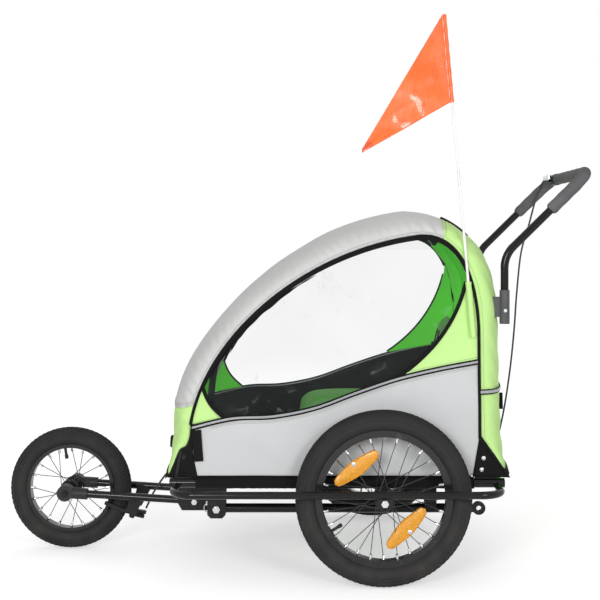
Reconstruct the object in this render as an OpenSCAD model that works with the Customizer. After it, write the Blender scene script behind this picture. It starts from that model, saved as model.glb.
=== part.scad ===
// Child bicycle trailer with a jogger front wheel, folding cabin frame and push handle.
// Millimetres, +Z up, forward is -X, the left side is -Y.
// Modules are drawn with X = 0 at the rear axle; place() moves them to the middle of the length.

/* [Wheels] */
// Outer diameter of the rear tyres
rear_wheel_d = 400; // [380:1:420]
// Width of the rear tyres
rear_tyre_w = 46; // [40:1:50]
// Diameter of the spoke side of the rear rims
rear_rim_inner_d = 282; // [260:1:290]
// Outer diameter of the front tyre
front_wheel_d = 305; // [295:1:315]
// Width of the front tyre
front_tyre_w = 44; // [38:1:48]
// Diameter of the spoke side of the front rim
front_rim_inner_d = 204; // [190:1:212]
// Width of the rims
rim_w = 26; // [22:1:30]
// Spokes in a rear wheel
rear_spokes = 28; // [20:4:36]
// Spokes in the front wheel
front_spoke_count = 20; // [16:4:24]
// Diameter of a spoke
spoke_d = 1.8; // [1.6:0.1:2]
// Diameter of the hub flanges
hub_flange_d = 46; // [40:1:52]
// Diameter of the hub barrel
hub_barrel_d = 30; // [26:1:34]
// Distance between the rear hub flanges
rear_flange_gap = 54; // [46:1:60]
// Distance between the front hub flanges
front_flange_gap = 50; // [44:1:56]
// Diameter of the wheel axles
axle_d = 10; // [8:0.5:12]
// Length of a spoke reflector
reflector_l = 104; // [90:1:112]
// Width of a spoke reflector
reflector_w = 36; // [30:1:40]

/* [Chassis] */
// Distance from front axle to rear axle
wheelbase = 786; // [776:1:800]
// Width of the floor frame over its tube centres
floor_w = 568; // [556:1:576]
// Width over the guard tube centres
guard_w = 780; // [770:1:800]
// Floor frame ahead of the rear axle
floor_ahead = 484; // [478:1:490]
// Floor frame behind the rear axle
floor_behind = 272; // [268:1:276]
// Height of the floor tubes
floor_z = 224; // [222:1:228]
// Diameter of the floor tubes
floor_tube_d = 22; // [20:1:24]
// Height of the guard tubes
guard_z = 218; // [217:1:221]
// Diameter of the guard tubes
guard_tube_d = 17; // [15:1:17]
// Bend radius of the guard tubes
guard_bend = 50; // [40:1:60]
// Wall of the steel tubes
tube_wall = 1.5; // [1:0.1:2]
// Thickness of the steel plates
plate_t = 4; // [3:0.5:5]

/* [Cabin frame] */
// Diameter of the hoop and arch tubes
hoop_tube_d = 19; // [17:1:20]
// Height of the hinge bolts
hinge_z = 283; // [280:1:288]
// Rear hinge behind the rear axle
rear_hinge_x = 238; // [234:1:240]
// Front hinge ahead of the rear axle
front_hinge_x = 460; // [456:1:464]
// Width over the hinged tube ends
hinge_w = 524; // [518:1:528]
// Height of the rear hoop's top bar
hoop_top_z = 815; // [805:1:820]
// Height of the front arch's top bar
arch_top_z = 792; // [780:1:800]
// Diameter of the hinge bolts
hinge_bolt_d = 8; // [6:1:10]

/* [Cabin cloth] */
// Thickness of the cloth panels
cloth_t = 2.5; // [2:0.1:3]
// Thickness of the clear window film
window_t = 0.8; // [0.6:0.1:1.2]
// Width of the cabin at the floor
cabin_w = 584; // [580:1:590]
// Inward lean of the side panels in degrees
side_lean = 4.5; // [4:0.1:4.8]
// Height of the roof's crown
roof_z = 862; // [858:1:876]
// Window overlap behind the cloth
window_lap = 8; // [6:1:10]

/* [Seat] */
// Width of the seat
seat_w = 440; // [400:1:450]
// Depth of the seat base
seat_depth = 325; // [300:1:330]
// Height of the padded seat base
seat_h = 148; // [130:1:160]
// Thickness of the seat back
seat_t = 42; // [36:1:46]
// Height of the seat back
seat_back_h = 350; // [320:1:370]

/* [Jogger] */
// Diameter of the jogger arm tubes
arm_tube_d = 19; // [17:1:20]
// Width over the jogger arm centres
arm_w = 132; // [128:1:140]
// Height of the arms' rear ends
arm_rear_z = 128; // [124:1:134]
// Diameter of the plastic fork ends
fork_end_d = 40; // [36:1:44]
// Thickness of the plastic fork ends
fork_end_t = 26; // [25:1:30]
// Angle of the brake below the front axle in degrees
brake_angle = 22; // [20:1:24]

/* [Push handle] */
// Diameter of the handle tube
handle_tube_d = 19; // [18:0.5:20]
// Width over the handle legs
handle_w = 472; // [466:1:476]
// Height of the handle's cross bar
handle_z = 950; // [930:1:970]
// Handle bar behind the rear axle
handle_x = 492; // [480:1:505]
// Diameter of the foam grip
grip_d = 29; // [26:1:32]
// Wall of the handle sockets
socket_wall = 2.5; // [2:0.1:3]
// Diameter of the snap buttons
button_d = 8; // [6:0.5:9]

/* [Tow arm and flag] */
// Diameter of the tow tube
tow_tube_d = 22; // [20:1:24]
// Height of the stowed tow tube
tow_z = 141; // [138:1:146]
// Distance of the tow tube from the middle
tow_y = 180; // [170:1:190]
// Bore of the tow eye
tow_eye_d = 12; // [10:0.5:14]
// Diameter of the flag pole
pole_d = 6; // [5:0.5:7]
// Height of the flag pole's top
pole_top_z = 1322; // [1250:1:1360]
// Length of the flag's sleeve edge
flag_hoist = 205; // [180:1:215]

/* [Hidden] */
$fn = 48;
// Radial clearance of a turning fit
run_fit = 0.05;
// Gap between pieces that are fixed face to face
seat_gap = 0.05;
// Gap beside pieces that move past each other
side_gap = 0.4;
// Overshoot of a cutting shape
cut = 1;
cable_d = 5;

rear_r = rear_wheel_d / 2;
front_r = front_wheel_d / 2;
floor_y = floor_w / 2;
guard_y = guard_w / 2;
wheel_y = (floor_y + guard_y) / 2;
front_x = -wheelbase;
floor_top = floor_z + floor_tube_d / 2;
floor_under = floor_z - floor_tube_d / 2;
hinge_y = hinge_w / 2;
arm_y = arm_w / 2;
handle_y = handle_w / 2;
handle_reach = handle_x + grip_d / 2;
rear_axle_x = (wheelbase + front_r - handle_reach) / 2;

function unit(v) = v / norm(v);
function mix(a, b, t) = a + (b - a) * t;
function mirrored(p) = [p.x, -p.y, p.z];
function bezier(p, t) = pow(1 - t, 3) * p[0] + 3 * t * pow(1 - t, 2) * p[1]
    + 3 * t * t * (1 - t) * p[2] + pow(t, 3) * p[3];

// Piece placed with the origin at the middle of the trailer's length.
module place() {
    translate([rear_axle_x, 0, 0]) children();
}

// Left piece as drawn at -Y, or its mirror image on the right.
module on_side(side) {
    if (side < 0) children();
    else mirror([0, 1, 0]) children();
}

// Shape drawn along +Z turned to run along +Y.
module along_y() {
    rotate([-90, 0, 0]) children();
}

// Round rod from p to q.
module rod(p, q, d) {
    v = q - p;
    translate(p) rotate([0, acos(v.z / norm(v)), atan2(v.y, v.x)]) cylinder(h = norm(v), d = d);
}

function way(path, i) = unit(path[i + 1] - path[i]);
function turn(path, i) = acos(way(path, i - 1) * way(path, i));
function bend_cut(path, bends, i) = i == 0 || i == len(path) - 1 ? 0
    : bends[i - 1] * tan(turn(path, i) / 2);

// Straight round bar or tube from p to q; a wall of 0 leaves it solid.
module straight(p, q, d, wall) {
    if (wall > 0) difference() {
        rod(p, q, d);
        rod(p - cut * unit(q - p), q + cut * unit(q - p), d - 2 * wall);
    }
    else rod(p, q, d);
}

// Round bar or tube along a path, with a circular bend at each inner point.
// A bend is a hair fuller than the straight lengths, which run a little way into it.
bend_full = 0.25;
bend_lap = 1;
function run_cut(path, bends, i) = max(bend_cut(path, bends, i) - bend_lap, 0);
module bent(path, d, wall, bends) {
    for (i = [0 : len(path) - 2])
        straight(path[i] + run_cut(path, bends, i) * way(path, i),
            path[i + 1] - run_cut(path, bends, i + 1) * way(path, i), d, wall);
    for (i = [1 : 1 : len(path) - 2]) {
        y = way(path, i - 1);
        z = unit(cross(y, way(path, i)));
        x = cross(y, z);
        c = path[i] - bend_cut(path, bends, i) * y - bends[i - 1] * x;
        multmatrix([[x.x, y.x, z.x, c.x], [x.y, y.y, z.y, c.y], [x.z, y.z, z.z, c.z], [0, 0, 0, 1]])
            rotate_extrude(angle = turn(path, i)) translate([bends[i - 1], 0]) difference() {
                circle(d = d + 2 * bend_full);
                if (wall > 0) circle(d = d - 2 * wall - 2 * bend_full);
            }
    }
}
module bent_rod(path, d, bends) {
    bent(path, d, 0, bends);
}
module bent_tube(path, d, wall, bends) {
    bent(path, d, wall, bends);
}

function stretched(path, e) = [for (i = [0 : len(path) - 1])
    i == 0 ? path[0] - e * way(path, 0)
    : i == len(path) - 1 ? path[i] + e * way(path, i - 1) : path[i]];

// Closed sheet between an upper and a lower surface, both functions of u and v from 0 to 1.
module sheet(upper, lower, nu, nv) {
    row = nv + 1;
    n = (nu + 1) * row;
    function quad(a, b, c, d) = [[a, b, c], [a, c, d]];
    points = concat([for (i = [0 : nu]) for (j = [0 : nv]) upper(i / nu, j / nv)],
        [for (i = [0 : nu]) for (j = [0 : nv]) lower(i / nu, j / nv)]);
    faces = concat(
        [for (i = [0 : nu - 1]) for (j = [0 : nv - 1]) let(a = i * row + j)
            each quad(a, a + 1, a + row + 1, a + row)],
        [for (i = [0 : nu - 1]) for (j = [0 : nv - 1]) let(a = i * row + j + n)
            each quad(a, a + row, a + row + 1, a + 1)],
        [for (i = [0 : nu - 1]) let(a = i * row) each quad(a, a + row, a + row + n, a + n)],
        [for (i = [0 : nu - 1]) let(a = i * row + nv) each quad(a, a + n, a + row + n, a + row)],
        [for (j = [0 : nv - 1]) each quad(j, j + n, j + 1 + n, j + 1)],
        [for (j = [0 : nv - 1]) let(a = nu * row + j) each quad(a, a + 1, a + 1 + n, a + n)]);
    polyhedron(points, faces);
}

// Round cord along route points, smoothed between them.
function smooth(p, k, t) = let(
    a = p[max(k - 1, 0)], b = p[k], c = p[k + 1], d = p[min(k + 2, len(p) - 1)])
    (2 * b + (c - a) * t + (2 * a - 5 * b + 4 * c - d) * t * t
        + (3 * b - a - 3 * c + d) * pow(t, 3)) / 2;
module cord(route, d, steps, sides) {
    pts = concat([for (k = [0 : len(route) - 2]) for (i = [0 : steps - 1]) smooth(route, k, i / steps)],
        [route[len(route) - 1]]);
    last = len(pts) - 1;
    points = [for (i = [0 : last])
        let(z = unit(pts[min(i + 1, last)] - pts[max(i - 1, 0)]),
            x = unit(cross(abs(z.y) > 0.8 ? [1, 0, 0] : [0, 1, 0], z)), y = cross(z, x))
        for (a = [0 : sides - 1]) pts[i] + d / 2 * (cos(360 * a / sides) * x + sin(360 * a / sides) * y)];
    faces = concat([[for (a = [0 : sides - 1]) a]],
        [for (i = [0 : last - 1]) for (a = [0 : sides - 1])
            let(b = (a + 1) % sides, p = i * sides, q = p + sides)
            each [[p + a, q + a, q + b], [p + a, q + b, p + b]]],
        [[for (a = [sides - 1 : -1 : 0]) last * sides + a]]);
    polyhedron(points, faces);
}

// Floor frame
cross_front = -floor_ahead;
cross_tow = -floor_ahead + 89;
cross_mid = 120;
cross_rear = floor_behind;
cross_xs = [cross_front, cross_tow, cross_mid, cross_rear];
function side_tube(y) = [[cross_front - floor_tube_d / 2, y, floor_z],
    [cross_rear + floor_tube_d / 2, y, floor_z]];
function cross_tube(x) = [[x, -floor_y, floor_z], [x, floor_y, floor_z]];

cross_tube_d = floor_tube_d - 2;
module side_bars(d) {
    for (y = [-floor_y, floor_y]) bent_rod(stretched(side_tube(y), cut), d, []);
}
module cross_bars(d) {
    for (x = cross_xs) bent_rod(cross_tube(x), d, []);
}

module floor_frame() {
    color("dimgray") {
        for (y = [-floor_y, floor_y]) bent_tube(side_tube(y), floor_tube_d, tube_wall, []);
        for (x = cross_xs) difference() {
            bent_tube(cross_tube(x), cross_tube_d, tube_wall, []);
            side_bars(floor_tube_d + 2 * seat_gap);
        }
    }
}

// Guard tube that leaves the frame, runs outside the wheel and comes back.
guard_inset = 6;
guard_path = [[cross_front + guard_inset, -floor_y, guard_z],
    [cross_front + guard_inset, -guard_y, guard_z],
    [cross_rear - guard_inset, -guard_y, guard_z],
    [cross_rear - guard_inset, -floor_y, guard_z]];

module guard_tube(side) {
    color("#1c1c1e") on_side(side) difference() {
        bent_tube(guard_path, guard_tube_d, tube_wall, [guard_bend, guard_bend]);
        bent_rod(stretched(side_tube(-floor_y), cut), floor_tube_d + 2 * seat_gap, []);
    }
}
module guard_tube_left() { guard_tube(-1); }
module guard_tube_right() { guard_tube(1); }

// Slotted plate under a tube that holds one end of a rear axle.
dropout_r = 18;
module dropout(y, tube_z, tube_d) {
    difference() {
        translate([0, y + plate_t / 2, 0]) rotate([90, 0, 0]) linear_extrude(plate_t) difference() {
            union() {
                translate([0, rear_r]) circle(dropout_r);
                translate([-dropout_r, rear_r]) square([2 * dropout_r, tube_z - rear_r]);
            }
            translate([0, rear_r]) circle(axle_d / 2 + run_fit);
            translate([-axle_d / 2 - run_fit, rear_r - dropout_r - cut])
                square([axle_d + 2 * run_fit, dropout_r + cut]);
        }
        translate([0, 0, tube_z - floor_z]) bent_rod(side_tube(y), tube_d + 2 * seat_gap, []);
    }
}
module axle_dropouts() {
    color("#26262a") for (side = [-1, 1]) on_side(side) {
        dropout(-floor_y, floor_z, floor_tube_d);
        dropout(-guard_y, guard_z, guard_tube_d);
    }
}

// Hexagon nut or bolt head along +Z.
module hex(flats, h) {
    cylinder(h = h, d = flats / cos(30), $fn = 6);
}

// Axle with cones between hub and supports and a nut outside each support.
nut_flats = 15;
nut_h = 7;
cone_d = 16;
axle_tail = 3;
module axle(hub_half, inner_half, outer_half) {
    along_y() {
        translate([0, 0, -outer_half - nut_h - axle_tail])
            cylinder(h = 2 * (outer_half + nut_h + axle_tail), d = axle_d);
        for (m = [0, 1]) mirror([0, 0, m]) {
            translate([0, 0, hub_half + side_gap])
                cylinder(h = inner_half - hub_half - side_gap - seat_gap, d = cone_d);
            translate([0, 0, outer_half + seat_gap]) hex(nut_flats, nut_h);
        }
    }
}
flange_t = 3;
hub_end = 5;
function hub_half(gap) = gap / 2 + flange_t / 2 + hub_end;
module rear_axles() {
    span = (guard_y - floor_y) / 2;
    color("silver") for (side = [-1, 1]) translate([0, side * wheel_y, rear_r])
        axle(hub_half(rear_flange_gap), span - plate_t / 2, span + plate_t / 2);
}

// Wheel pieces, drawn round the Y axis at the origin
module spun() {
    along_y() rotate_extrude($fn = 96) children();
}
tyre_wall = 4.5;
groove_w = 3;
groove_deep = 1.6;
module tyre(r, w) {
    spun() difference() {
        translate([r - w / 2, 0]) circle(d = w);
        translate([r - w / 2, 0]) circle(d = w - 2 * tyre_wall);
        for (k = [-1, 0, 1])
            translate([r - groove_deep - abs(k) * groove_deep, k * w / 5 - groove_w / 2])
                square([w, groove_w]);
    }
}
rim_flange_t = 2;
rim_wall = 2;
bead_half = rim_w / 2 - rim_flange_t - side_gap;
// Height of the rim flanges, up to where the round tyre fills the space between them.
function flange_h(tyre_w) = tyre_w / 2 - sqrt(pow(tyre_w / 2, 2) - pow(bead_half, 2));
module rim(tyre_r, tyre_w, inner_r) {
    bead_r = tyre_r - tyre_w;
    spun() difference() {
        translate([inner_r, -rim_w / 2]) square([bead_r + flange_h(tyre_w) - inner_r, rim_w]);
        translate([bead_r - seat_gap, -rim_w / 2 + rim_flange_t])
            square([flange_h(tyre_w) + cut, rim_w - 2 * rim_flange_t]);
        translate([inner_r + rim_wall, -rim_w / 2 + rim_flange_t])
            square([max(bead_r - inner_r - 2 * rim_wall, 0.5), rim_w - 2 * rim_flange_t]);
    }
}
// Valve stem that stands inward from the rim.
valve_d = 7;
valve_l = 28;
module valve(inner_r, angle) {
    rotate([0, -angle, 0]) translate([inner_r - seat_gap - valve_l, 0, 0]) rotate([0, 90, 0]) {
        cylinder(h = valve_l, d = valve_d);
        cylinder(h = valve_l / 3, d = valve_d + 2);
    }
}
// Ends of spoke k of n: outside or inside its flange, crossing two others on the way to the rim.
lace = 60;
spoke_seat = 4;
spoke_off = 3.6;
rim_hole_y = 3;
nipple_d = 4;
nipple_l = 11;
nipple_gap = 0.7;
function spoke_flank(k) = k % 2 == 0 ? -1 : 1;
function spoke_lean(k) = floor(k / 2) % 2 == 0 ? -1 : 1;
function polar(r, a, y) = [r * cos(a), y, r * sin(a)];
function hub_hole(n, k, y) = polar(hub_flange_d / 2 - spoke_seat, 360 * k / n + spoke_lean(k) * lace, y);
function spoke_foot(n, k, gap) =
    hub_hole(n, k, spoke_flank(k) * (gap / 2 + spoke_lean(k) * (flange_t / 2 + spoke_off)));
function spoke_head(n, k, gap) =
    hub_hole(n, k, spoke_flank(k) * (gap / 2 - spoke_lean(k) * (flange_t / 2 + 1)));
function spoke_tip(n, k, inner_r) = polar(inner_r - nipple_gap, 360 * k / n, spoke_flank(k) * rim_hole_y);
elbow_full = 0.2;
module spokes(n, gap, inner_r, extra = 0) {
    for (k = [0 : n - 1]) {
        foot = spoke_foot(n, k, gap);
        tip = spoke_tip(n, k, inner_r);
        along = unit(tip - foot);
        rod(foot, tip - nipple_l / 2 * along, spoke_d + extra);
        rod(spoke_head(n, k, gap), foot, spoke_d + elbow_full + extra);
        translate(foot) sphere(d = spoke_d + 2 * elbow_full + extra);
        rod(tip - nipple_l * along, tip, nipple_d + extra);
    }
}
module hub(n, gap) {
    half = hub_half(gap);
    difference() {
        spun() difference() {
            union() {
                translate([0, -half]) square([hub_barrel_d / 2, 2 * half]);
                for (m = [-1, 1]) translate([0, m * gap / 2 - flange_t / 2])
                    square([hub_flange_d / 2, flange_t]);
            }
            translate([0, -half - cut]) square([axle_d / 2 + run_fit, 2 * (half + cut)]);
        }
        for (k = [0 : n - 1])
            rod(spoke_head(n, k, gap), spoke_foot(n, k, gap), spoke_d + elbow_full + 2 * seat_gap);
    }
}
// Two amber reflectors that clip over the outer spokes.
reflector_r = 88;
reflector_t = 9;
reflector_y = 15.5;
reflector_angles = [137, 305];
module reflectors() {
    difference() {
        for (a = reflector_angles) rotate([0, -a, 0]) translate([reflector_r, -reflector_y, 0])
            rotate([90, 0, 0]) translate([0, 0, -reflector_t / 2]) linear_extrude(reflector_t)
                intersection() {
                    square([reflector_w, reflector_l], center = true);
                    circle(d = reflector_l);
                }
        spokes(rear_spokes, rear_flange_gap, rear_rim_inner_d / 2, 2 * seat_gap);
    }
}
module at_rear(side) {
    on_side(side) translate([0, -wheel_y, rear_r]) children();
}
module at_front() {
    translate([front_x, 0, front_r]) children();
}
// Each valve stands midway between two spokes.
rear_valve_angle = 360 / rear_spokes * 16.5;
front_valve_angle = 360 / front_spoke_count * 5.5;
module rear_tyre(side) {
    color("#202124") at_rear(side) {
        tyre(rear_r, rear_tyre_w);
        valve(rear_rim_inner_d / 2, rear_valve_angle);
    }
}
module rear_rim(side) { color("#101012") at_rear(side) rim(rear_r, rear_tyre_w, rear_rim_inner_d / 2); }
module rear_spoke_set(side) {
    color("silver") at_rear(side) spokes(rear_spokes, rear_flange_gap, rear_rim_inner_d / 2);
}
module rear_hub(side) { color("#151517") at_rear(side) hub(rear_spokes, rear_flange_gap); }
module rear_reflectors(side) { color("orange") at_rear(side) reflectors(); }
module left_tyre() { rear_tyre(-1); }
module left_rim() { rear_rim(-1); }
module left_spokes() { rear_spoke_set(-1); }
module left_hub() { rear_hub(-1); }
module left_reflectors() { rear_reflectors(-1); }
module right_tyre() { rear_tyre(1); }
module right_rim() { rear_rim(1); }
module right_spokes() { rear_spoke_set(1); }
module right_hub() { rear_hub(1); }
module right_reflectors() { rear_reflectors(1); }
module front_tyre() {
    color("#202124") at_front() {
        tyre(front_r, front_tyre_w);
        valve(front_rim_inner_d / 2, front_valve_angle);
    }
}
module front_rim() { color("#101012") at_front() rim(front_r, front_tyre_w, front_rim_inner_d / 2); }
module front_spokes() {
    color("silver") at_front() spokes(front_spoke_count, front_flange_gap, front_rim_inner_d / 2);
}
module front_hub() { color("#151517") at_front() hub(front_spoke_count, front_flange_gap); }

// Jogger arms, fork ends and brackets
arm_rear_x = cross_tow + 2;
pin_d = 8;
function arm_pt(x, y) = [x, y, mix(front_r, arm_rear_z, (x - front_x) / (arm_rear_x - front_x))];
arm_start = fork_end_d / 2 + 2;
collar_l = 55;
bolt_x = cross_front + 23;
quick_pin_x = cross_front + 59;
module arm_bores(extra) {
    for (x = [bolt_x, quick_pin_x]) translate(arm_pt(x, 0)) along_y()
        cylinder(h = 2 * arm_w, d = pin_d + extra, center = true);
}
module jogger_arm(side) {
    color("#1c1c1e") on_side(side) difference() {
        bent_tube([arm_pt(front_x + arm_start, -arm_y), arm_pt(arm_rear_x, -arm_y)],
            arm_tube_d, tube_wall, []);
        arm_bores(2 * run_fit);
    }
}
module jogger_arm_left() { jogger_arm(-1); }
module jogger_arm_right() { jogger_arm(1); }
collar_wall = 4.5;
module fork_ends() {
    color("#2a2a2d") for (side = [-1, 1]) on_side(side) difference() {
        union() {
            translate([front_x, -arm_y, front_r]) along_y()
                cylinder(h = fork_end_t, d = fork_end_d, center = true);
            rod(arm_pt(front_x, -arm_y), arm_pt(front_x + collar_l, -arm_y), arm_tube_d + 2 * collar_wall);
        }
        rod(arm_pt(front_x + arm_start - seat_gap, -arm_y), arm_pt(front_x + collar_l + cut, -arm_y),
            arm_tube_d + 2 * seat_gap);
        translate([front_x, -arm_y, front_r]) along_y()
            cylinder(h = 2 * arm_w, d = axle_d + 2 * run_fit, center = true);
        for (m = [-1, 1])
            translate([front_x, -arm_y + m * (fork_end_t / 2 + arm_w / 2), front_r]) along_y()
                cylinder(h = arm_w, d = fork_end_d, center = true);
    }
}
module front_axle() {
    color("silver") at_front()
        axle(hub_half(front_flange_gap), arm_y - fork_end_t / 2, arm_y + fork_end_t / 2);
}
hanger_low = 17;
hanger_back = 12;
hanger_half = 18;
hanger_corner = 10;
hanger_rise = 22;
module jogger_brackets() {
    low = arm_rear_z - hanger_low;
    hanger_y = arm_tube_d / 2 + side_gap + plate_t / 2;
    color("#26262a") for (side = [-1, 1]) on_side(side) difference() {
        for (m = [-1, 1]) translate([0, -arm_y + m * hanger_y + plate_t / 2, 0]) rotate([90, 0, 0])
            linear_extrude(plate_t) polygon([[cross_front - hanger_half, floor_z],
                [cross_front + hanger_half, floor_z],
                [quick_pin_x + hanger_back, arm_rear_z + hanger_rise], [quick_pin_x + hanger_back, low],
                [cross_front - hanger_half + hanger_corner, low], [cross_front - hanger_half, arm_rear_z]]);
        bent_rod(cross_tube(cross_front), cross_tube_d + 2 * seat_gap, []);
        arm_bores(2 * seat_gap);
    }
}
// Hexagon bolt and quick pin with a pull ring on each jogger bracket.
ring_d = 22;
ring_wire = 2.4;
pin_tail = 7;
pin_nut_flats = 13;
pin_nut_h = 5.5;
pin_head_d = 14;
pin_head_h = 4;
pin_grip = 9;
module jogger_pins() {
    half = arm_tube_d / 2 + side_gap + plate_t + seat_gap;
    color("silver") for (side = [-1, 1]) on_side(side) {
        translate(arm_pt(bolt_x, -arm_y)) along_y() {
            cylinder(h = 2 * (half + pin_tail), d = pin_d, center = true);
            for (m = [0, 1]) mirror([0, 0, m]) translate([0, 0, half]) hex(pin_nut_flats, pin_nut_h);
        }
        translate(arm_pt(quick_pin_x, -arm_y)) along_y() {
            translate([0, 0, -half - pin_grip]) cylinder(h = 2 * (half + pin_tail), d = pin_d);
            translate([0, 0, -half - pin_head_h]) cylinder(h = pin_head_h, d = pin_head_d);
            translate([0, ring_d / 2, -half - pin_tail]) rotate_extrude()
                translate([ring_d / 2, 0]) circle(d = ring_wire);
        }
    }
}

// Front brake, drawn from its stud: -X runs to the wheel, Z along the stud
brake_r = front_r + 19.5;
stud_d = 6;
pad_r = front_rim_inner_d / 2 + 4;
pad_reach = brake_r - pad_r;
pad_gap = 2.2;
pad_t = 8;
pad_l = 40;
pad_h = 8;
lever_h = 8;
stack_gap = 0.3;
brake_half = front_tyre_w / 2 + 11;
caliper_w = 9;
boss_r = 10;
tail_l = 30;
bridge_d = 14;
bridge_up = 17;
module at_brake() {
    translate([front_x, 0, front_r]) rotate([0, brake_angle, 0]) translate([brake_r, 0, 0]) children();
}
// Flat caliper arm round one side of the tyre, with a cable tail behind the stud.
arm_root = [[-4, -3], [8, -3], [4, 0.75 * brake_half]];
arm_elbow = 14;
pad_hold = 8;
tail_root = [[-6, -2], [6, -5]];
tail_low = 14;
tail_high = 24;
tail_shift = 6;
function ring(p, side) = side > 0 ? p : [for (i = [len(p) - 1 : -1 : 0]) [p[i].x, -p[i].y]];
module caliper_arm(side, level) {
    outer = brake_half + caliper_w / 2;
    inner = brake_half - caliper_w / 2;
    color("silver") at_brake() translate([0, 0, level]) linear_extrude(lever_h) difference() {
        union() {
            circle(boss_r);
            polygon(ring(concat(arm_root, [[-arm_elbow, outer], [-pad_reach - pad_hold, outer],
                [-pad_reach - pad_hold, inner], [-arm_elbow - 2, inner]]), side));
            polygon(concat(tail_root, [[tail_l, tail_low - side * tail_shift],
                [tail_l - 4, tail_high - side * tail_shift]]));
        }
        circle(stud_d / 2 + run_fit);
    }
}
module caliper_arm_left() { caliper_arm(-1, stack_gap); }
module caliper_arm_right() { caliper_arm(1, -stack_gap - lever_h); }
// Rubber block on a round post that seats on its caliper arm.
module brake_pad(side, level) {
    inner = rim_w / 2 + pad_gap;
    post = brake_half - caliper_w / 2 - seat_gap - inner - pad_t;
    color("#1a1a1a") at_brake() {
        translate([-pad_reach - pad_h / 2, side < 0 ? -inner - pad_t : inner,
            level + lever_h / 2 - pad_l / 2]) cube([pad_h, pad_t, pad_l]);
        translate([-pad_reach, side * (inner + pad_t - cut / 2), level + lever_h / 2])
            rotate([-side * 90, 0, 0]) cylinder(h = post + cut / 2, d = lever_h - 1);
    }
}
module brake_pad_left() { brake_pad(-1, stack_gap); }
module brake_pad_right() { brake_pad(1, -stack_gap - lever_h); }
// Bridge tube between the arms, its drop plates, and the stud that carries both caliper arms.
bridge_plate = [[-14, -10], [10, -10], [16, 42], [-20, 42]];
stud_tail = 8;
stud_nut_h = 6;
module brake_bridge() {
    plate_y = arm_y - arm_tube_d / 2 - seat_gap - plate_t / 2;
    color("#1c1c1e") at_brake() {
        translate([0, 0, bridge_up]) along_y() cylinder(h = 2 * plate_y, d = bridge_d, center = true);
        translate([0, 0, stack_gap + lever_h + stack_gap])
            cylinder(h = bridge_up - lever_h - 2 * stack_gap, d = 2 * (boss_r - cut));
        translate([0, 0, -lever_h - stud_tail]) cylinder(h = bridge_up + lever_h + stud_tail, d = stud_d);
        translate([0, 0, -lever_h - 2 * stack_gap - stud_nut_h]) hex(2 * stud_d, stud_nut_h);
        for (m = [-1, 1]) translate([0, m * plate_y, bridge_up]) rotate([90, 0, 0])
            translate([0, 0, -plate_t / 2]) linear_extrude(plate_t) polygon(bridge_plate);
    }
}

// Tow arm stowed under the floor, its bracket and pivot bolt
tow_eye_x = 237;
tow_pin_d = 10;
tow_tail = 18;
lug_l = 34;
lug_r = 16;
lug_t = 10;
lug_root = 20;
module tow_arm() {
    color("#1c1c1e") difference() {
        union() {
            bent_tube([[cross_tow - tow_tail, -tow_y, tow_z], [tow_eye_x - lug_l, -tow_y, tow_z]],
                tow_tube_d, tube_wall, []);
            translate([0, -tow_y + lug_t / 2, tow_z]) rotate([90, 0, 0]) linear_extrude(lug_t) union() {
                translate([tow_eye_x, 0]) circle(lug_r);
                translate([tow_eye_x - lug_l - lug_root, -tow_tube_d / 2 + tube_wall])
                    square([lug_l + lug_root, tow_tube_d - 2 * tube_wall]);
            }
        }
        translate([cross_tow, -tow_y, tow_z]) along_y()
            cylinder(h = 2 * tow_tube_d, d = tow_pin_d + 2 * run_fit, center = true);
        translate([tow_eye_x, -tow_y, tow_z]) along_y()
            cylinder(h = 2 * tow_tube_d, d = tow_eye_d, center = true);
    }
}
tow_plate_y = tow_tube_d / 2 + side_gap + plate_t / 2;
plate_corner = 8;
module tow_plates(x, half, low) {
    difference() {
        for (m = [-1, 1]) translate([x, -tow_y + m * tow_plate_y + plate_t / 2, 0]) rotate([90, 0, 0])
            linear_extrude(plate_t) polygon([[-half, floor_z], [half, floor_z],
                [half, low + plate_corner], [half - plate_corner, low],
                [plate_corner - half, low], [-half, low + plate_corner]]);
        bent_rod(cross_tube(x), cross_tube_d + 2 * seat_gap, []);
    }
}
tow_bracket_low = 22;
tow_bracket_half = 22;
tow_saddle_half = 14;
module tow_bracket() {
    color("#26262a") {
        difference() {
            tow_plates(cross_tow, tow_bracket_half, tow_z - tow_bracket_low);
            translate([cross_tow, -tow_y, tow_z]) along_y()
                cylinder(h = 4 * tow_tube_d, d = tow_pin_d + 2 * seat_gap, center = true);
        }
        tow_plates(cross_mid, tow_saddle_half, tow_z - tow_tube_d / 4);
    }
}
tow_pin_tail = 9;
tow_nut_flats = 16;
tow_nut_h = 6.5;
module tow_pins() {
    half = tow_plate_y + plate_t / 2 + seat_gap;
    color("silver") translate([cross_tow, -tow_y, tow_z]) along_y() {
        cylinder(h = 2 * (half + tow_pin_tail), d = tow_pin_d, center = true);
        for (m = [0, 1]) mirror([0, 0, m]) translate([0, 0, half]) hex(tow_nut_flats, tow_nut_h);
    }
}

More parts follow.
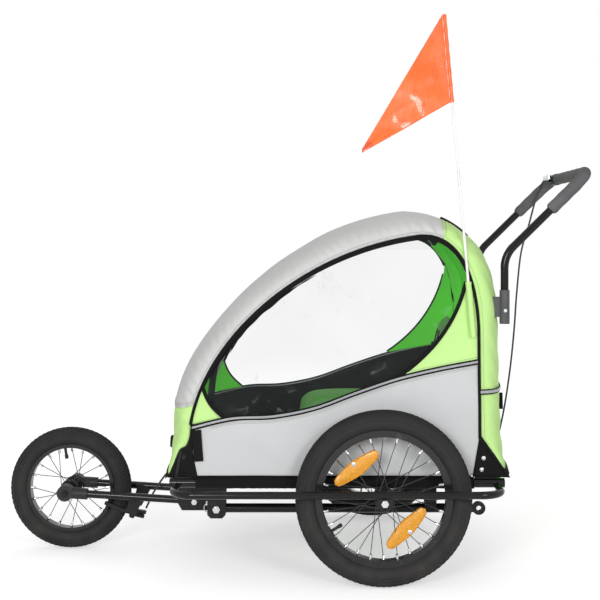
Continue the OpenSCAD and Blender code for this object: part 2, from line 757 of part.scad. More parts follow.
// Hinge brackets and bolts of the cabin frame
bracket_gap = 27;
bracket_t = 3;
bracket_r = 16;
bracket_foot = 24;
module at_hinges() {
    for (side = [-1, 1]) on_side(side) for (x = [-front_hinge_x, rear_hinge_x])
        translate([x, -hinge_y, 0]) children();
}
module hinge_brackets() {
    foot_z = floor_top + seat_gap;
    foot_in = bracket_gap / 2 + bracket_t;
    color("#202022") at_hinges() difference() {
        union() {
            translate([-bracket_foot, hinge_y - floor_y - 6, foot_z])
                cube([2 * bracket_foot, floor_y + 6 - hinge_y + foot_in, bracket_t]);
            for (m = [-1, 1]) translate([0, m * (bracket_gap + bracket_t) / 2 + bracket_t / 2, 0])
                rotate([90, 0, 0]) linear_extrude(bracket_t) union() {
                    translate([0, hinge_z]) circle(bracket_r);
                    polygon([[-bracket_foot, foot_z], [bracket_foot, foot_z],
                        [bracket_r, hinge_z], [-bracket_r, hinge_z]]);
                }
        }
        translate([0, 0, hinge_z]) along_y()
            cylinder(h = 2 * hinge_w, d = hinge_bolt_d + 2 * seat_gap, center = true);
    }
}
hinge_bolt_tail = 6;
hinge_nut_flats = 13;
hinge_nut_h = 5;
module hinge_bolts() {
    half = bracket_gap / 2 + bracket_t + seat_gap;
    color("silver") at_hinges() translate([0, 0, hinge_z]) along_y() {
        cylinder(h = 2 * (half + hinge_bolt_tail), d = hinge_bolt_d, center = true);
        for (m = [0, 1]) mirror([0, 0, m]) translate([0, 0, half]) hex(hinge_nut_flats, hinge_nut_h);
    }
}

// Rear hoop and front arch: one leg each, mirrored and joined by a top bar
hinge_tail = 14;
function hoop_y(z) = hinge_y - (z - hinge_z) * tan(side_lean);
hoop_knee_z = 690;
hoop_leg = [[rear_hinge_x, -hinge_y, hinge_z], [rear_hinge_x - 2, -hoop_y(hoop_knee_z), hoop_knee_z],
    [rear_hinge_x - 98, -hoop_y(hoop_top_z), hoop_top_z]];
arch_leg = [[-front_hinge_x, -hinge_y, hinge_z], [22 - front_hinge_x, -232, 470],
    [245 - front_hinge_x, -206, 720], [470 - front_hinge_x, -196, arch_top_z]];
function both_legs(leg) = let(n = len(leg))
    stretched(concat(leg, [for (i = [1 : n]) mirrored(leg[n - i])]), hinge_tail);
hoop_path = both_legs(hoop_leg);
arch_path = both_legs(arch_leg);
hoop_bends = [110, 70, 70, 110];
arch_bends = [230, 230, 70, 70, 230, 230];
module hinge_bores(leg) {
    translate([leg[0].x, 0, hinge_z]) along_y()
        cylinder(h = 2 * hinge_w, d = hinge_bolt_d + 2 * run_fit, center = true);
}
module rear_hoop() {
    color("#1c1c1e") difference() {
        bent_tube(hoop_path, hoop_tube_d, tube_wall, hoop_bends);
        hinge_bores(hoop_leg);
    }
}
module front_arch() {
    color("#1c1c1e") difference() {
        bent_tube(arch_path, hoop_tube_d, tube_wall, arch_bends);
        hinge_bores(arch_leg);
    }
}

// Push handle
socket_x = rear_hinge_x + 53;
socket_low = 590;
socket_high = 670;
socket_cap = 3;
button_z = 622;
handle_bend_z = 752;
web_t = 8;
web_low = 606;
web_high = 654;
handle_leg = [[socket_x, -handle_y, socket_low + socket_cap + seat_gap],
    [socket_x, -handle_y, handle_bend_z], [handle_x, -handle_y, handle_z]];
function both_ends(leg) = let(n = len(leg)) concat(leg, [for (i = [1 : n]) mirrored(leg[n - i])]);
handle_path = both_ends(handle_leg);
handle_bends = [70, 55, 55, 70];
socket_d = handle_tube_d + 2 * (seat_gap + socket_wall);
module button_bore() {
    for (side = [-1, 1]) on_side(side) translate([socket_x, -handle_y, button_z]) rotate([90, 0, 0])
        cylinder(h = 2 * socket_d, d = button_d + 2 * run_fit);
}
module handle_sockets() {
    color("#3a3a3d") difference() {
        for (side = [-1, 1]) on_side(side) difference() {
            union() {
                translate([socket_x, -handle_y, socket_low])
                    cylinder(h = socket_high - socket_low, d = socket_d);
                translate([rear_hinge_x, -hoop_y((web_low + web_high) / 2) - web_t / 2, web_low])
                    cube([socket_x - rear_hinge_x, web_t, web_high - web_low]);
            }
            translate([socket_x, -handle_y, socket_low + socket_cap])
                cylinder(h = socket_high, d = handle_tube_d + 2 * seat_gap);
        }
        bent_rod(hoop_path, hoop_tube_d + 2 * seat_gap, hoop_bends);
        translate([rear_hinge_x - hoop_tube_d, -handle_w, web_low - cut])
            cube([hoop_tube_d, 2 * handle_w, web_high]);
        button_bore();
    }
}
module handle_bar() {
    color("#19191b") difference() {
        bent_tube(handle_path, handle_tube_d, tube_wall, handle_bends);
        button_bore();
    }
}
// Foam grip in two lengths, with the brake lever's clamp between them.
grip_start = 0.54;
clamp_y = 158;
clamp_w = 36;
module handle_grip() {
    low = mix(handle_leg[1], handle_leg[2], grip_start);
    bar_l = [handle_x, clamp_y - clamp_w / 2 - seat_gap, handle_z];
    bar_r = [handle_x, clamp_y + clamp_w / 2 + seat_gap, handle_z];
    color("#333336") difference() {
        union() {
            bent_rod([low, handle_leg[2], bar_l], grip_d, [handle_bends[1]]);
            bent_rod([bar_r, mirrored(handle_leg[2]), mirrored(low)], grip_d, [handle_bends[1]]);
        }
        bent_rod(handle_path, handle_tube_d + 2 * seat_gap, handle_bends);
    }
}
// Round snap button with a collar inside the handle tube.
button_out = 2.6;
button_collar = 1.5;
module snap_button(side) {
    inner = handle_tube_d / 2 - tube_wall - 2.6;
    color("silver") on_side(side) translate([socket_x, -handle_y, button_z]) rotate([90, 0, 0]) {
        translate([0, 0, inner - 2]) cylinder(h = socket_d / 2 + button_out - inner + 2, d = button_d);
        translate([0, 0, inner - 2]) cylinder(h = 2, d = button_d + 2 * button_collar);
    }
}
module snap_button_left() { snap_button(-1); }
module snap_button_right() { snap_button(1); }

// Brake lever on the handle's cross bar
clamp_d = 31;
lever_pin_d = 6;
lever_pivot = [handle_x - 26, clamp_y - 6, handle_z];
lever_t = 9;
cheek_t = 3;
barrel_d = 9;
barrel_l = 12;
perch_r = 10;
perch_room = 15;
barrel_at = 10;
barrel_root = 8;
module lever_perch() {
    cheek = lever_t / 2 + stack_gap;
    color("#242427") difference() {
        union() {
            translate([handle_x, clamp_y, handle_z]) along_y()
                cylinder(h = clamp_w, d = clamp_d, center = true);
            for (m = [0, 1]) translate([0, 0, handle_z]) mirror([0, 0, m]) translate([0, 0, cheek])
                linear_extrude(cheek_t) {
                    translate([lever_pivot.x, lever_pivot.y]) circle(perch_r);
                    translate([lever_pivot.x, lever_pivot.y - perch_r])
                        square([handle_x - lever_pivot.x, 2 * perch_r]);
                }
            translate([lever_pivot.x, clamp_y + barrel_at, handle_z - barrel_d / 2 - cut])
                cube([handle_x - lever_pivot.x, barrel_root, barrel_d + 2 * cut]);
            translate([lever_pivot.x, clamp_y + barrel_at, handle_z]) along_y()
                cylinder(h = barrel_l + barrel_root, d = barrel_d);
        }
        translate([handle_x, clamp_y, handle_z]) along_y()
            cylinder(h = 2 * clamp_w, d = handle_tube_d + 2 * seat_gap, center = true);
        translate([0, 0, handle_z]) linear_extrude(2 * cheek, center = true)
            translate([lever_pivot.x, lever_pivot.y]) circle(perch_room);
    }
    color("silver") translate([lever_pivot.x, lever_pivot.y, handle_z]) {
        cylinder(h = 2 * (cheek + cheek_t), d = lever_pin_d, center = true);
    }
}
lever_reach = 132;
lever_eye = 9;
lever_tip = 6;
lever_blade = [[-7, 2], [-19, -40], [-25, -lever_reach], [-16, -lever_reach],
    [-8, -40], [2, -18], [7, 2]];
module brake_lever() {
    color("#3c3c40") translate(lever_pivot) linear_extrude(lever_t, center = true) difference() {
        union() {
            circle(lever_eye);
            polygon(lever_blade);
            translate((lever_blade[2] + lever_blade[3]) / 2) circle(lever_tip);
        }
        circle(lever_pin_d / 2 + run_fit);
    }
}

// Cabin cloth: the side edge and the crown of the canopy are curves in the X-Z plane
cloth_low = floor_top + 7;
function side_y(z) = cabin_w / 2 - (z - floor_top) * tan(side_lean);
edge_foot = [-424, cloth_low];
edge_front = [-447, 359];
edge_top = [80, 798];
edge_back = [226, 578];
edge_low = [226, 324];
edge_heel = [290, cloth_low];
edge_over = [edge_front, [-415, 560], [-190, 760], edge_top];
edge_down = [edge_top, [165, 812], [222, 735], edge_back];
crown_foot = [-506, cloth_low];
crown_front = [-508, 397];
crown_top = [59, roof_z];
crown_back = [281, 620];
crown_heel = [288, cloth_low];
crown_over = [crown_front, [-465, 590], [-195, roof_z - 24], crown_top];
crown_down = [crown_top, [170, roof_z - 4], [276, 800], crown_back];

// Point of a cloth arch that stands on both side edges and reaches the crown in the middle.
function arch_pt(edge, crown, half, squareness, angle) = let(
    h = pow(max(sin(angle), 0), 2 / squareness),
    q = mix(edge, crown, h),
    y = -sign(cos(angle)) * pow(abs(cos(angle)), 2 / squareness) * half) [q.x, y, q.y];
function inner_crown(edge, crown) = crown + cloth_t * unit(edge - crown);

// Cloth between two crown stations; edge, crown and half width are functions of t.
module cloth_arch(edge, crown, half, squareness, nu, nv) {
    sheet(function(u, v) arch_pt(edge(u), crown(u), half(u), squareness, 180 * v),
        function(u, v) arch_pt(edge(u), inner_crown(edge(u), crown(u)), half(u) - cloth_t,
            squareness, 180 * v), nu, nv);
}
// Share of the roof's length that lies ahead of its top, and where the roof ends on the rear curve
roof_front_share = 0.8;
roof_end = 0.33;
roof_round = 2.6;
rear_round = 3;
panel_gap = 0.004;
function roof_edge(t) = t < roof_front_share ? bezier(edge_over, t / roof_front_share)
    : bezier(edge_down, (t - roof_front_share) / (1 - roof_front_share) * roof_end);
function roof_crown(t) = t < roof_front_share ? bezier(crown_over, t / roof_front_share)
    : bezier(crown_down, (t - roof_front_share) / (1 - roof_front_share) * roof_end);
module canopy_roof() {
    color("silver") cloth_arch(function(u) roof_edge(mix(panel_gap, 1, u)),
        function(u) roof_crown(mix(panel_gap, 1, u)), function(u) side_y(roof_edge(u).y),
        roof_round, 20, 16);
}
// The front panel's side edge stands ahead of the hinge bracket, then meets the roof's corner.
front_foot_half = 264;
front_foot_x = -front_hinge_x - bracket_foot - 8;
front_side = [[front_foot_x, cloth_low], [front_foot_x, 312], [front_foot_x + 8, 338], edge_front];
module front_panel() {
    color("#7ed321") cloth_arch(function(u) bezier(front_side, u),
        function(u) mix(crown_foot, crown_front, u),
        function(u) mix(front_foot_half, side_y(edge_front.y), u), roof_round, 8, 16);
}
rear_turn = 0.42;
rear_drop = 0.85;
rear_start = roof_end + panel_gap * 3;
function rear_edge(t) = t < rear_turn ? bezier(edge_down, mix(rear_start, 1, t / rear_turn))
    : t < rear_drop ? mix(edge_back, edge_low, (t - rear_turn) / (rear_drop - rear_turn))
    : mix(edge_low, edge_heel, (t - rear_drop) / (1 - rear_drop));
function rear_crown(t) = t < rear_turn ? bezier(crown_down, mix(rear_start, 1, t / rear_turn))
    : mix(crown_back, crown_heel, (t - rear_turn) / (1 - rear_turn));
slit_gap = 1;
module rear_panel() {
    color("#7ed321") difference() {
        cloth_arch(function(u) rear_edge(u), function(u) rear_crown(u),
            function(u) side_y(rear_edge(u).y), rear_round, 20, 16);
        for (side = [-1, 1]) on_side(side)
            translate([rear_hinge_x, -hoop_y((web_low + web_high) / 2) - web_t / 2 - slit_gap,
                web_low - slit_gap]) cube([socket_x - rear_hinge_x, web_t + 2 * slit_gap,
                web_high - web_low + 2 * slit_gap]);
    }
}

// Side panel and window: flat outlines in the leaning plane of the side
function curve(p, a, b, n) = [for (i = [0 : n]) bezier(p, mix(a, b, i / n))];
function side_normal(p, i) = let(n = len(p), a = p[(i + n - 1) % n], b = p[(i + 1) % n])
    unit([b.y - a.y, a.x - b.x]);
function grown(p, d) = [for (i = [0 : len(p) - 1]) p[i] + d * side_normal(p, i)];
side_outline = concat(curve(edge_down, 1, 0, 6), curve(edge_over, 0.94, 0, 10),
    [edge_foot, [edge_low.x + 20, cloth_low], edge_low]);
window_drop = [[197, 692], [150, 490], [-60, 370], [-366, 371]];
window_inset = 15;
window_outline = grown(concat(curve(edge_down, 0.62, 0, 4), curve(edge_over, 0.94, 0.17, 10),
    curve(window_drop, 1, 0.05, 10)), -window_inset);
seam_gap = 0.8;
module in_side_plane(side, inset, t) {
    on_side(side) translate([0, -cabin_w / 2 + inset, floor_top]) rotate([-side_lean, 0, 0])
        rotate([90, 0, 0]) translate([0, -floor_top, -t]) linear_extrude(t) children();
}
module side_panel(side) {
    color("#b9bbbd") in_side_plane(side, 0, cloth_t) difference() {
        polygon(grown(side_outline, -seam_gap));
        polygon(window_outline);
    }
}
module side_panel_left() { side_panel(-1); }
module side_panel_right() { side_panel(1); }
module window(side) {
    color("#dfe9ee", 0.4) in_side_plane(side, cloth_t + 6 * seat_gap, window_t)
        polygon(grown(window_outline, window_lap));
}
module window_left() { window(-1); }
module window_right() { window(1); }

// Floor cloth with a sleeve round each side tube
floor_cloth_t = 3;
sleeve_wall = 2;
sleeve_front = -front_hinge_x + bracket_foot + 2;
sleeve_back = rear_hinge_x - bracket_foot - 2;
module floor_panel() {
    half = hinge_y - bracket_gap / 2 - bracket_t - 3;
    color("#18181a") difference() {
        union() {
            translate([cross_front, -half, floor_top + seat_gap])
                cube([cross_rear - cross_front, 2 * half, floor_cloth_t]);
            translate([sleeve_front, -floor_y, floor_top + seat_gap])
                cube([sleeve_back - sleeve_front, 2 * floor_y, floor_cloth_t]);
            for (y = [-floor_y, floor_y]) rod([sleeve_front, y, floor_z], [sleeve_back, y, floor_z],
                floor_tube_d + 2 * (seat_gap + sleeve_wall));
        }
        side_bars(floor_tube_d + 2 * seat_gap);
        cross_bars(cross_tube_d + 2 * seat_gap);
        for (y = [-floor_y, floor_y]) translate([-dropout_r - 1, y - floor_tube_d, rear_r - dropout_r])
            cube([2 * dropout_r + 2, 2 * floor_tube_d, floor_z - rear_r + dropout_r]);
    }
}

// Seat cushions with a crown, drawn-in sides and a channel between the two places
seat_x = -206;
seat_low = floor_top + seat_gap + floor_cloth_t + 6 * seat_gap;
channel_deep = 9;
channel_w = 0.05;
function swell(u, v) = pow(1 - pow(abs(2 * u - 1), 4), 0.5) * pow(1 - pow(abs(2 * v - 1), 6), 0.5);
function channel(v) = exp(-pow((v - 0.5) / channel_w, 2));
base_edge = 0.8;
back_edge = 0.45;
function plump(u, v, t, edge) = t * mix(edge, 1, swell(u, v)) - channel_deep * channel(v) * swell(u, v);
function base_pt(u, v, h) = [seat_x + seat_depth * u, mix(-seat_w / 2, seat_w / 2, v), seat_low + h];
module seat_base() {
    color("#7ed321") sheet(function(u, v) base_pt(u, v, plump(u, v, seat_h, base_edge)),
        function(u, v) base_pt(u, v, 0), 10, 20);
}
back_lean = 8;
back_x = 212;
back_low = seat_low + seat_t * back_edge * sin(back_lean);
function back_pt(u, v, d) = [back_x + (u - 1) * seat_back_h * sin(back_lean) - d * cos(back_lean),
    mix(-seat_w / 2, seat_w / 2, v), back_low + u * seat_back_h * cos(back_lean) - d * sin(back_lean)];
module seat_back() {
    color("#7ed321") sheet(function(u, v) back_pt(u, v, plump(u, v, seat_t, back_edge)),
        function(u, v) back_pt(u, v, 0), 10, 20);
}
// Shoulder straps that lie on the seat back, two for each place
strap_half = 0.03;
strap_t = 1.6;
strap_from = 0.46;
strap_to = 0.88;
function strap_v(at, m, u, v) = at + m * mix(0.09, 0.05, u) + mix(-strap_half, strap_half, v);
function strap_pt(at, m, u, v, d) = let(w = mix(strap_from, strap_to, u), across = strap_v(at, m, u, v))
    back_pt(w, across, plump(w, across, seat_t, back_edge) + 6 * seat_gap + d);
module harness() {
    color("#141416") for (at = [0.27, 0.73]) for (m = [-1, 1])
        sheet(function(u, v) strap_pt(at, m, u, v, strap_t), function(u, v) strap_pt(at, m, u, v, 0), 8, 2);
}

// Flag, pole and the pocket that holds it on the left rear side
pocket_d = 15;
pocket_low = 560;
pocket_high = 690;
pocket_floor = 4;
pole_foot_x = 212;
pole_top_x = 151;
function pole_pt(z) = [mix(pole_foot_x, pole_top_x, (z - pocket_low) / (pole_top_z - pocket_low)),
    -side_y(z) - pocket_d / 2 - 10 * seat_gap, z];
module flag_pocket() {
    color("#6cc11c") difference() {
        rod(pole_pt(pocket_low), pole_pt(pocket_high), pocket_d);
        rod(pole_pt(pocket_low + pocket_floor), pole_pt(pocket_high + pocket_d), pole_d + 2 * seat_gap);
    }
}
module flag_pole() {
    color("white") rod(pole_pt(pocket_low + pocket_floor + seat_gap), pole_pt(pole_top_z), pole_d);
}
flag_tip = [-46, -214, 997];
flag_t = 0.8;
flag_tip_share = 0.04;
flag_wave = 9;
function flag_pt(u, v, d) = let(
    hoist = pole_pt(pole_top_z - 2 - flag_hoist * v) - [pole_d / 2 + 6 * seat_gap, 0, 0],
    p = mix(hoist, flag_tip, u * (1 - flag_tip_share)),
    wave = flag_wave * sin(360 * (1.4 * u + 0.5 * v)) * sin(180 * u)) p + [0, wave + d, 0];
module flag() {
    color("#ff5a1f") sheet(function(u, v) flag_pt(u, v, -flag_t / 2),
        function(u, v) flag_pt(u, v, flag_t / 2), 16, 8);
}

// Brake cable: free from the lever to the rear cross tube, then held under the floor to the front brake
cable_z = floor_under - cable_d / 2 - 6 * seat_gap;
route_upper = [[466, 188.4, 950], [466, 197, 949], [463, 207, 941], [457, 212, 927], [448, 212, 905],
    [424, 204, 820], [402, 190, 750], [386, 165, 640], [374, 136, 540], [356, 100, 430], [332, 66, 320],
    [306, 44, 240], [290, 36, 212]];
route_lower = [[290, 36, 212], [272, 33, cable_z], [120, 30, cable_z], [-120, 30, cable_z],
    [-395, 30, cable_z], [-484, 28, cable_z], [-536, 25, 190], [-574, 22, 140],
    [-592, 20, 104], [-597, 20, 93]];
module brake_cable_upper() { color("#121214") cord(route_upper, cable_d, 4, 8); }
module brake_cable_lower() { color("#121214") cord(route_lower, cable_d, 4, 8); }

place() floor_frame();
place() guard_tube_left();
place() guard_tube_right();
place() axle_dropouts();
place() floor_panel();
place() hinge_brackets();
place() hinge_bolts();
place() jogger_brackets();
place() jogger_arm_left();
place() jogger_arm_right();
place() jogger_pins();
place() fork_ends();
place() front_axle();
place() brake_bridge();
place() caliper_arm_left();
place() caliper_arm_right();
place() brake_pad_left();
place() brake_pad_right();
place() front_tyre();
place() front_rim();
place() front_spokes();
place() front_hub();
place() left_tyre();
place() left_rim();
place() left_spokes();
place() left_hub();
place() left_reflectors();
place() right_tyre();
place() right_rim();
place() right_spokes();
place() right_hub();
place() right_reflectors();
place() rear_axles();
place() rear_hoop();
place() front_arch();
place() handle_sockets();
place() handle_bar();
place() handle_grip();
place() snap_button_left();
place() snap_button_right();
place() lever_perch();
place() brake_lever();
place() brake_cable_upper();
place() brake_cable_lower();
place() flag_pocket();
place() flag_pole();
place() flag();
place() tow_arm();
place() tow_bracket();
place() tow_pins();
place() canopy_roof();
place() front_panel();
place() rear_panel();
place() side_panel_left();
place() side_panel_right();
place() window_left();
place() window_right();
place() seat_base();
place() seat_back();
place() harness();
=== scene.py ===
"""Child bicycle trailer in jogger form: cloth, finishes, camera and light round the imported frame."""

import logging
import math
from dataclasses import dataclass
from enum import Enum
from typing import Any, Callable, Sequence

import bmesh
import bpy
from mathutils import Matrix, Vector, noise


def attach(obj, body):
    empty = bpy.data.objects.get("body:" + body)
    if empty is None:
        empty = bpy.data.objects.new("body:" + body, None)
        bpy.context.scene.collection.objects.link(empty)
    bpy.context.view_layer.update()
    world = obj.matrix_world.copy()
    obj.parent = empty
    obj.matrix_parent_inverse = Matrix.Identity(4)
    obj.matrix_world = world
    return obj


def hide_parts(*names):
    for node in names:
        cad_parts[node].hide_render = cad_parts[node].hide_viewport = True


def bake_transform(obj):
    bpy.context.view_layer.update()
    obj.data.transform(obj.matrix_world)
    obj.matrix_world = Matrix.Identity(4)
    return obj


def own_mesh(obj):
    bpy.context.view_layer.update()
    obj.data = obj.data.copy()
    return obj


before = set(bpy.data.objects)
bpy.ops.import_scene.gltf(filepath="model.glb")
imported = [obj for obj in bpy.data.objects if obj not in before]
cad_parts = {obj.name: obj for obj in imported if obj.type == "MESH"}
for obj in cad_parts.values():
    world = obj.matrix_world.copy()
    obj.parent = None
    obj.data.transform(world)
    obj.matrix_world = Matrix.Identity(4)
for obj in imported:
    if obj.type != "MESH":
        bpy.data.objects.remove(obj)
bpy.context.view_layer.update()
LOG = logging.getLogger("trailer")

Flat = tuple[float, float]
Colour = tuple[float, float, float, float]
At = Callable[[float, float], Vector]

MM = 0.001
AXLE_X = 216.0
FLOOR_TOP = 235.0
CLOTH_LOW = 242.0
CABIN_HALF = 292.0
FOOT_HALF = 264.0
LEAN = math.radians(4.5)
CABIN_CENTRE = Vector((0.12, 0.0, 0.45))
ALONG, ACROSS, UP = Vector((1.0, 0.0, 0.0)), Vector((0.0, 1.0, 0.0)), Vector((0.0, 0.0, 1.0))


def rel(x: float, y: float, z: float) -> Vector:
    """Point in metres from millimetres behind the rear axle, to the right and up."""
    return Vector(((x + AXLE_X) * MM, y * MM, z * MM))


def mix(a: float, b: float, t: float) -> float:
    """Number at share t between a and b."""
    return a + (b - a) * t


def between(a: Flat, b: Flat, t: float) -> Flat:
    """Flat point at share t between a and b."""
    return mix(a[0], b[0], t), mix(a[1], b[1], t)


def bezier(p: Sequence[Flat], t: float) -> Flat:
    """Flat point at t on the cubic curve with the four control points p."""
    s = 1 - t
    weights = (s**3, 3 * t * s**2, 3 * t**2 * s, t**3)
    return sum(w * q[0] for w, q in zip(weights, p)), sum(w * q[1] for w, q in zip(weights, p))


def through(p: Sequence[Flat], t: float) -> Flat:
    """Flat point at share t on a smooth line through the points p."""
    at = min(max(t, 0.0), 1.0) * (len(p) - 1)
    k = min(int(at), len(p) - 2)
    f = at - k
    a, b, c, d = p[max(k - 1, 0)], p[k], p[k + 1], p[min(k + 2, len(p) - 1)]
    return tuple(
        0.5 * (2 * b[i] + (c[i] - a[i]) * f + (2 * a[i] - 5 * b[i] + 4 * c[i] - d[i]) * f**2
               + (3 * b[i] - a[i] - 3 * c[i] + d[i]) * f**3)
        for i in range(len(b))
    )


def side_y(z: float) -> float:
    """Half width of the cabin at a height, in millimetres."""
    return CABIN_HALF - (z - FLOOR_TOP) * math.tan(LEAN)


def side_pt(side: int, p: Flat, out: float = 0.0) -> Vector:
    """Point of a leaning side wall.

    Args:
        side: -1 for the left wall, 1 for the right wall.
        p: Place along the wall and up its slope, in millimetres.
        out: How far the point stands proud of the wall.

    Returns:
        The point in metres.
    """
    slope = p[1] - FLOOR_TOP
    half = CABIN_HALF - slope * math.sin(LEAN) + out * math.cos(LEAN)
    return rel(p[0], side * half, FLOOR_TOP + slope * math.cos(LEAN) + out * math.sin(LEAN))


def arch_pt(edge: Flat, crown: Flat, half: float, square: float, angle: float) -> Vector:
    """Point of a cloth arch that stands on both side edges and reaches its crown in the middle."""
    rise = max(math.sin(angle), 0.0) ** (2 / square)
    q = between(edge, crown, rise)
    reach = math.copysign(abs(math.cos(angle)) ** (2 / square), -math.cos(angle))
    return rel(q[0], reach * half, q[1])


def wobble(p: Vector, size: float, seed: float) -> float:
    """Smooth noise from -1 to 1 at a point, with swells of that size in metres."""
    return noise.noise(p / size + Vector((seed, seed * 1.7, -seed)))


def srgb(red: float, green: float, blue: float) -> Colour:
    """Linear colour of a screen colour from 0 to 255."""

    def linear(c: float) -> float:
        """Linear value of one channel."""
        c /= 255
        return c / 12.92 if c <= 0.04045 else ((c + 0.055) / 1.055) ** 2.4

    return linear(red), linear(green), linear(blue), 1.0


def scaled(colour: Colour, by: float) -> Colour:
    """The colour made lighter or darker."""
    return tuple(min(c * by, 1.0) for c in colour[:3]) + (1.0,)


class Shape:
    """Faces gathered for one piece, with a map in metres for its cloth."""

    RIBBON_BEVEL = (0.6, 0.2)
    BLOCK_SOFT = 0.22
    BLOCK_CORNER = 0.35
    MERGE = 1e-6
    SLIVER = 1e-7
    SHARP = math.radians(42)

    def __init__(self) -> None:
        """Starts empty."""
        self.points: list[Vector] = []
        self.maps: list[Flat] = []
        self.faces: list[tuple[int, ...]] = []
        self.slots: list[int] = []

    def grid(self, at: At, nu: int, nv: int, slot: int = 0) -> int:
        """Adds a sheet of quads.

        Args:
            at: Point for two shares from 0 to 1.
            nu: Quads along the first share.
            nv: Quads along the second share.
            slot: Material slot of the faces.

        Returns:
            The index of its first point.
        """
        rows = [[at(i / nu, j / nv) for j in range(nv + 1)] for i in range(nu + 1)]
        run_u, run_v = [0.0], [0.0]
        for i in range(nu):
            run_u.append(run_u[-1] + (rows[i + 1][nv // 2] - rows[i][nv // 2]).length)
        for j in range(nv):
            run_v.append(run_v[-1] + (rows[nu // 2][j + 1] - rows[nu // 2][j]).length)
        first = len(self.points)
        for i, row in enumerate(rows):
            self.points.extend(row)
            self.maps.extend((run_u[i], v) for v in run_v)
        for i in range(nu):
            for j in range(nv):
                a = first + i * (nv + 1) + j
                self.faces.append((a, a + 1, a + nv + 2, a + nv + 1))
                self.slots.append(slot)
        return first

    def sweep(self, rings: Sequence[Sequence[Vector]], slot: int = 0) -> None:
        """Adds a closed bar through rings of points, capped at both ends."""
        sides = len(rings[0])
        first = self.grid(lambda u, v: rings[round(u * (len(rings) - 1))][round(v * sides) % sides],
                          len(rings) - 1, sides, slot)
        last = first + (len(rings) - 1) * (sides + 1)
        self.faces.append(tuple(range(first + sides - 1, first - 1, -1)))
        self.faces.append(tuple(range(last, last + sides)))
        self.slots.extend((slot, slot))

    def tube(self, path: Sequence[Vector], radius: float | Callable[[float], float], sides: int = 10) -> None:
        """Adds a round bar along a path.

        Args:
            path: Points in metres.
            radius: Radius in metres, or a function of the share along the path.
            sides: Faces round the bar.
        """
        rings = []
        across = tangent(path, 0).orthogonal().normalized()
        for i, p in enumerate(path):
            way = tangent(path, i)
            across = (across - way * across.dot(way)).normalized()
            other = way.cross(across)
            r = radius(i / (len(path) - 1)) if callable(radius) else radius
            rings.append([p + r * (math.cos(a) * across + math.sin(a) * other)
                          for a in (2 * math.pi * k / sides for k in range(sides))])
        self.sweep(rings)

    def ribbon(self, path: Sequence[Vector], outward: Sequence[Vector], width: float, thick: float) -> None:
        """Adds a flat strap that lies on a surface.

        Args:
            path: Points of its underside's middle line, in metres.
            outward: Unit normals of the surface at those points.
            width: Width in metres.
            thick: Thickness in metres.
        """
        bevel = min(thick * self.RIBBON_BEVEL[0], width * self.RIBBON_BEVEL[1])
        section = ((-width / 2, thick / 2), (-width / 2 + bevel, 0), (width / 2 - bevel, 0),
                   (width / 2, thick / 2), (width / 2 - bevel, thick), (-width / 2 + bevel, thick))
        rings = []
        for i, (p, n) in enumerate(zip(path, outward)):
            across = tangent(path, i).cross(n).normalized()
            rings.append([p + a * across + b * n for a, b in section])
        self.sweep(rings)

    def block(self, centre: Vector, axes: Sequence[Vector], size: Sequence[float], slot: int = 0) -> None:
        """Adds a block with softened edges, a taper of three rings along its last axis."""
        x, y, z = (a.normalized() for a in axes)
        soft = min(size) * self.BLOCK_SOFT
        rings = []
        for h, inset in ((-0.5, soft), (-0.5, 0.0), (0.5, 0.0), (0.5, soft)):
            lift = h * size[2] + (0 if inset else -math.copysign(soft, h))
            a, b = size[0] / 2 - inset, size[1] / 2 - inset
            corner = min(a, b) * self.BLOCK_CORNER
            rings.append([centre + p * x + q * y + lift * z for p, q in (
                (a, b - corner), (a - corner, b), (corner - a, b), (-a, b - corner),
                (-a, corner - b), (corner - a, -b), (a - corner, -b), (a, corner - b))])
        self.sweep(rings, slot)

    def disc(self, centre: Vector, axis: Vector, profile: Sequence[Flat], sides: int, slot: int = 0) -> None:
        """Adds a turned piece from pairs of radius and height along its axis."""
        way = axis.normalized()
        across = way.orthogonal().normalized()
        other = way.cross(across)
        self.sweep([[centre + h * way + r * (math.cos(a) * across + math.sin(a) * other)
                     for a in (2 * math.pi * k / sides for k in range(sides))] for r, h in profile], slot)

    def cut(self) -> Flat:
        """Length and width of the gathered sheet when it lies flat, in metres."""
        return max(m[0] for m in self.maps), max(m[1] for m in self.maps)

    def piece(self, name: str, *materials: bpy.types.Material, solid: bool = True) -> bpy.types.Object:
        """Makes the object.

        Args:
            name: Name of the piece.
            *materials: Materials in the order of the slots.
            solid: Whether the faces close, so that they can be turned outward.

        Returns:
            The object, in place.
        """
        mesh = bpy.data.meshes.new(name)
        mesh.from_pydata(self.points, [], self.faces)
        layer = mesh.uv_layers.new(name="UVMap")
        for loop in mesh.loops:
            layer.data[loop.index].uv = self.maps[loop.vertex_index]
        mesh.polygons.foreach_set("material_index", self.slots)
        work = bmesh.new()
        work.from_mesh(mesh)
        bmesh.ops.remove_doubles(work, verts=work.verts, dist=self.MERGE)
        bmesh.ops.dissolve_degenerate(work, edges=work.edges, dist=self.SLIVER)
        if solid:
            bmesh.ops.recalc_face_normals(work, faces=work.faces)
        work.to_mesh(mesh)
        work.free()
        for material in materials:
            mesh.materials.append(material)
        mesh.shade_smooth()
        mesh.set_sharp_from_angle(angle=self.SHARP)
        obj = bpy.data.objects.new(name, mesh)
        bpy.context.scene.collection.objects.link(obj)
        return obj


def tangent(path: Sequence[Vector], i: int) -> Vector:
    """Unit direction of a path at its point i."""
    return (path[min(i + 1, len(path) - 1)] - path[max(i - 1, 0)]).normalized()


def run_of(at: Callable[[float], Vector], n: int, a: float = 0.0, b: float = 1.0) -> list[Vector]:
    """n + 1 points of a line between two of its shares."""
    return [at(mix(a, b, i / n)) for i in range(n + 1)]


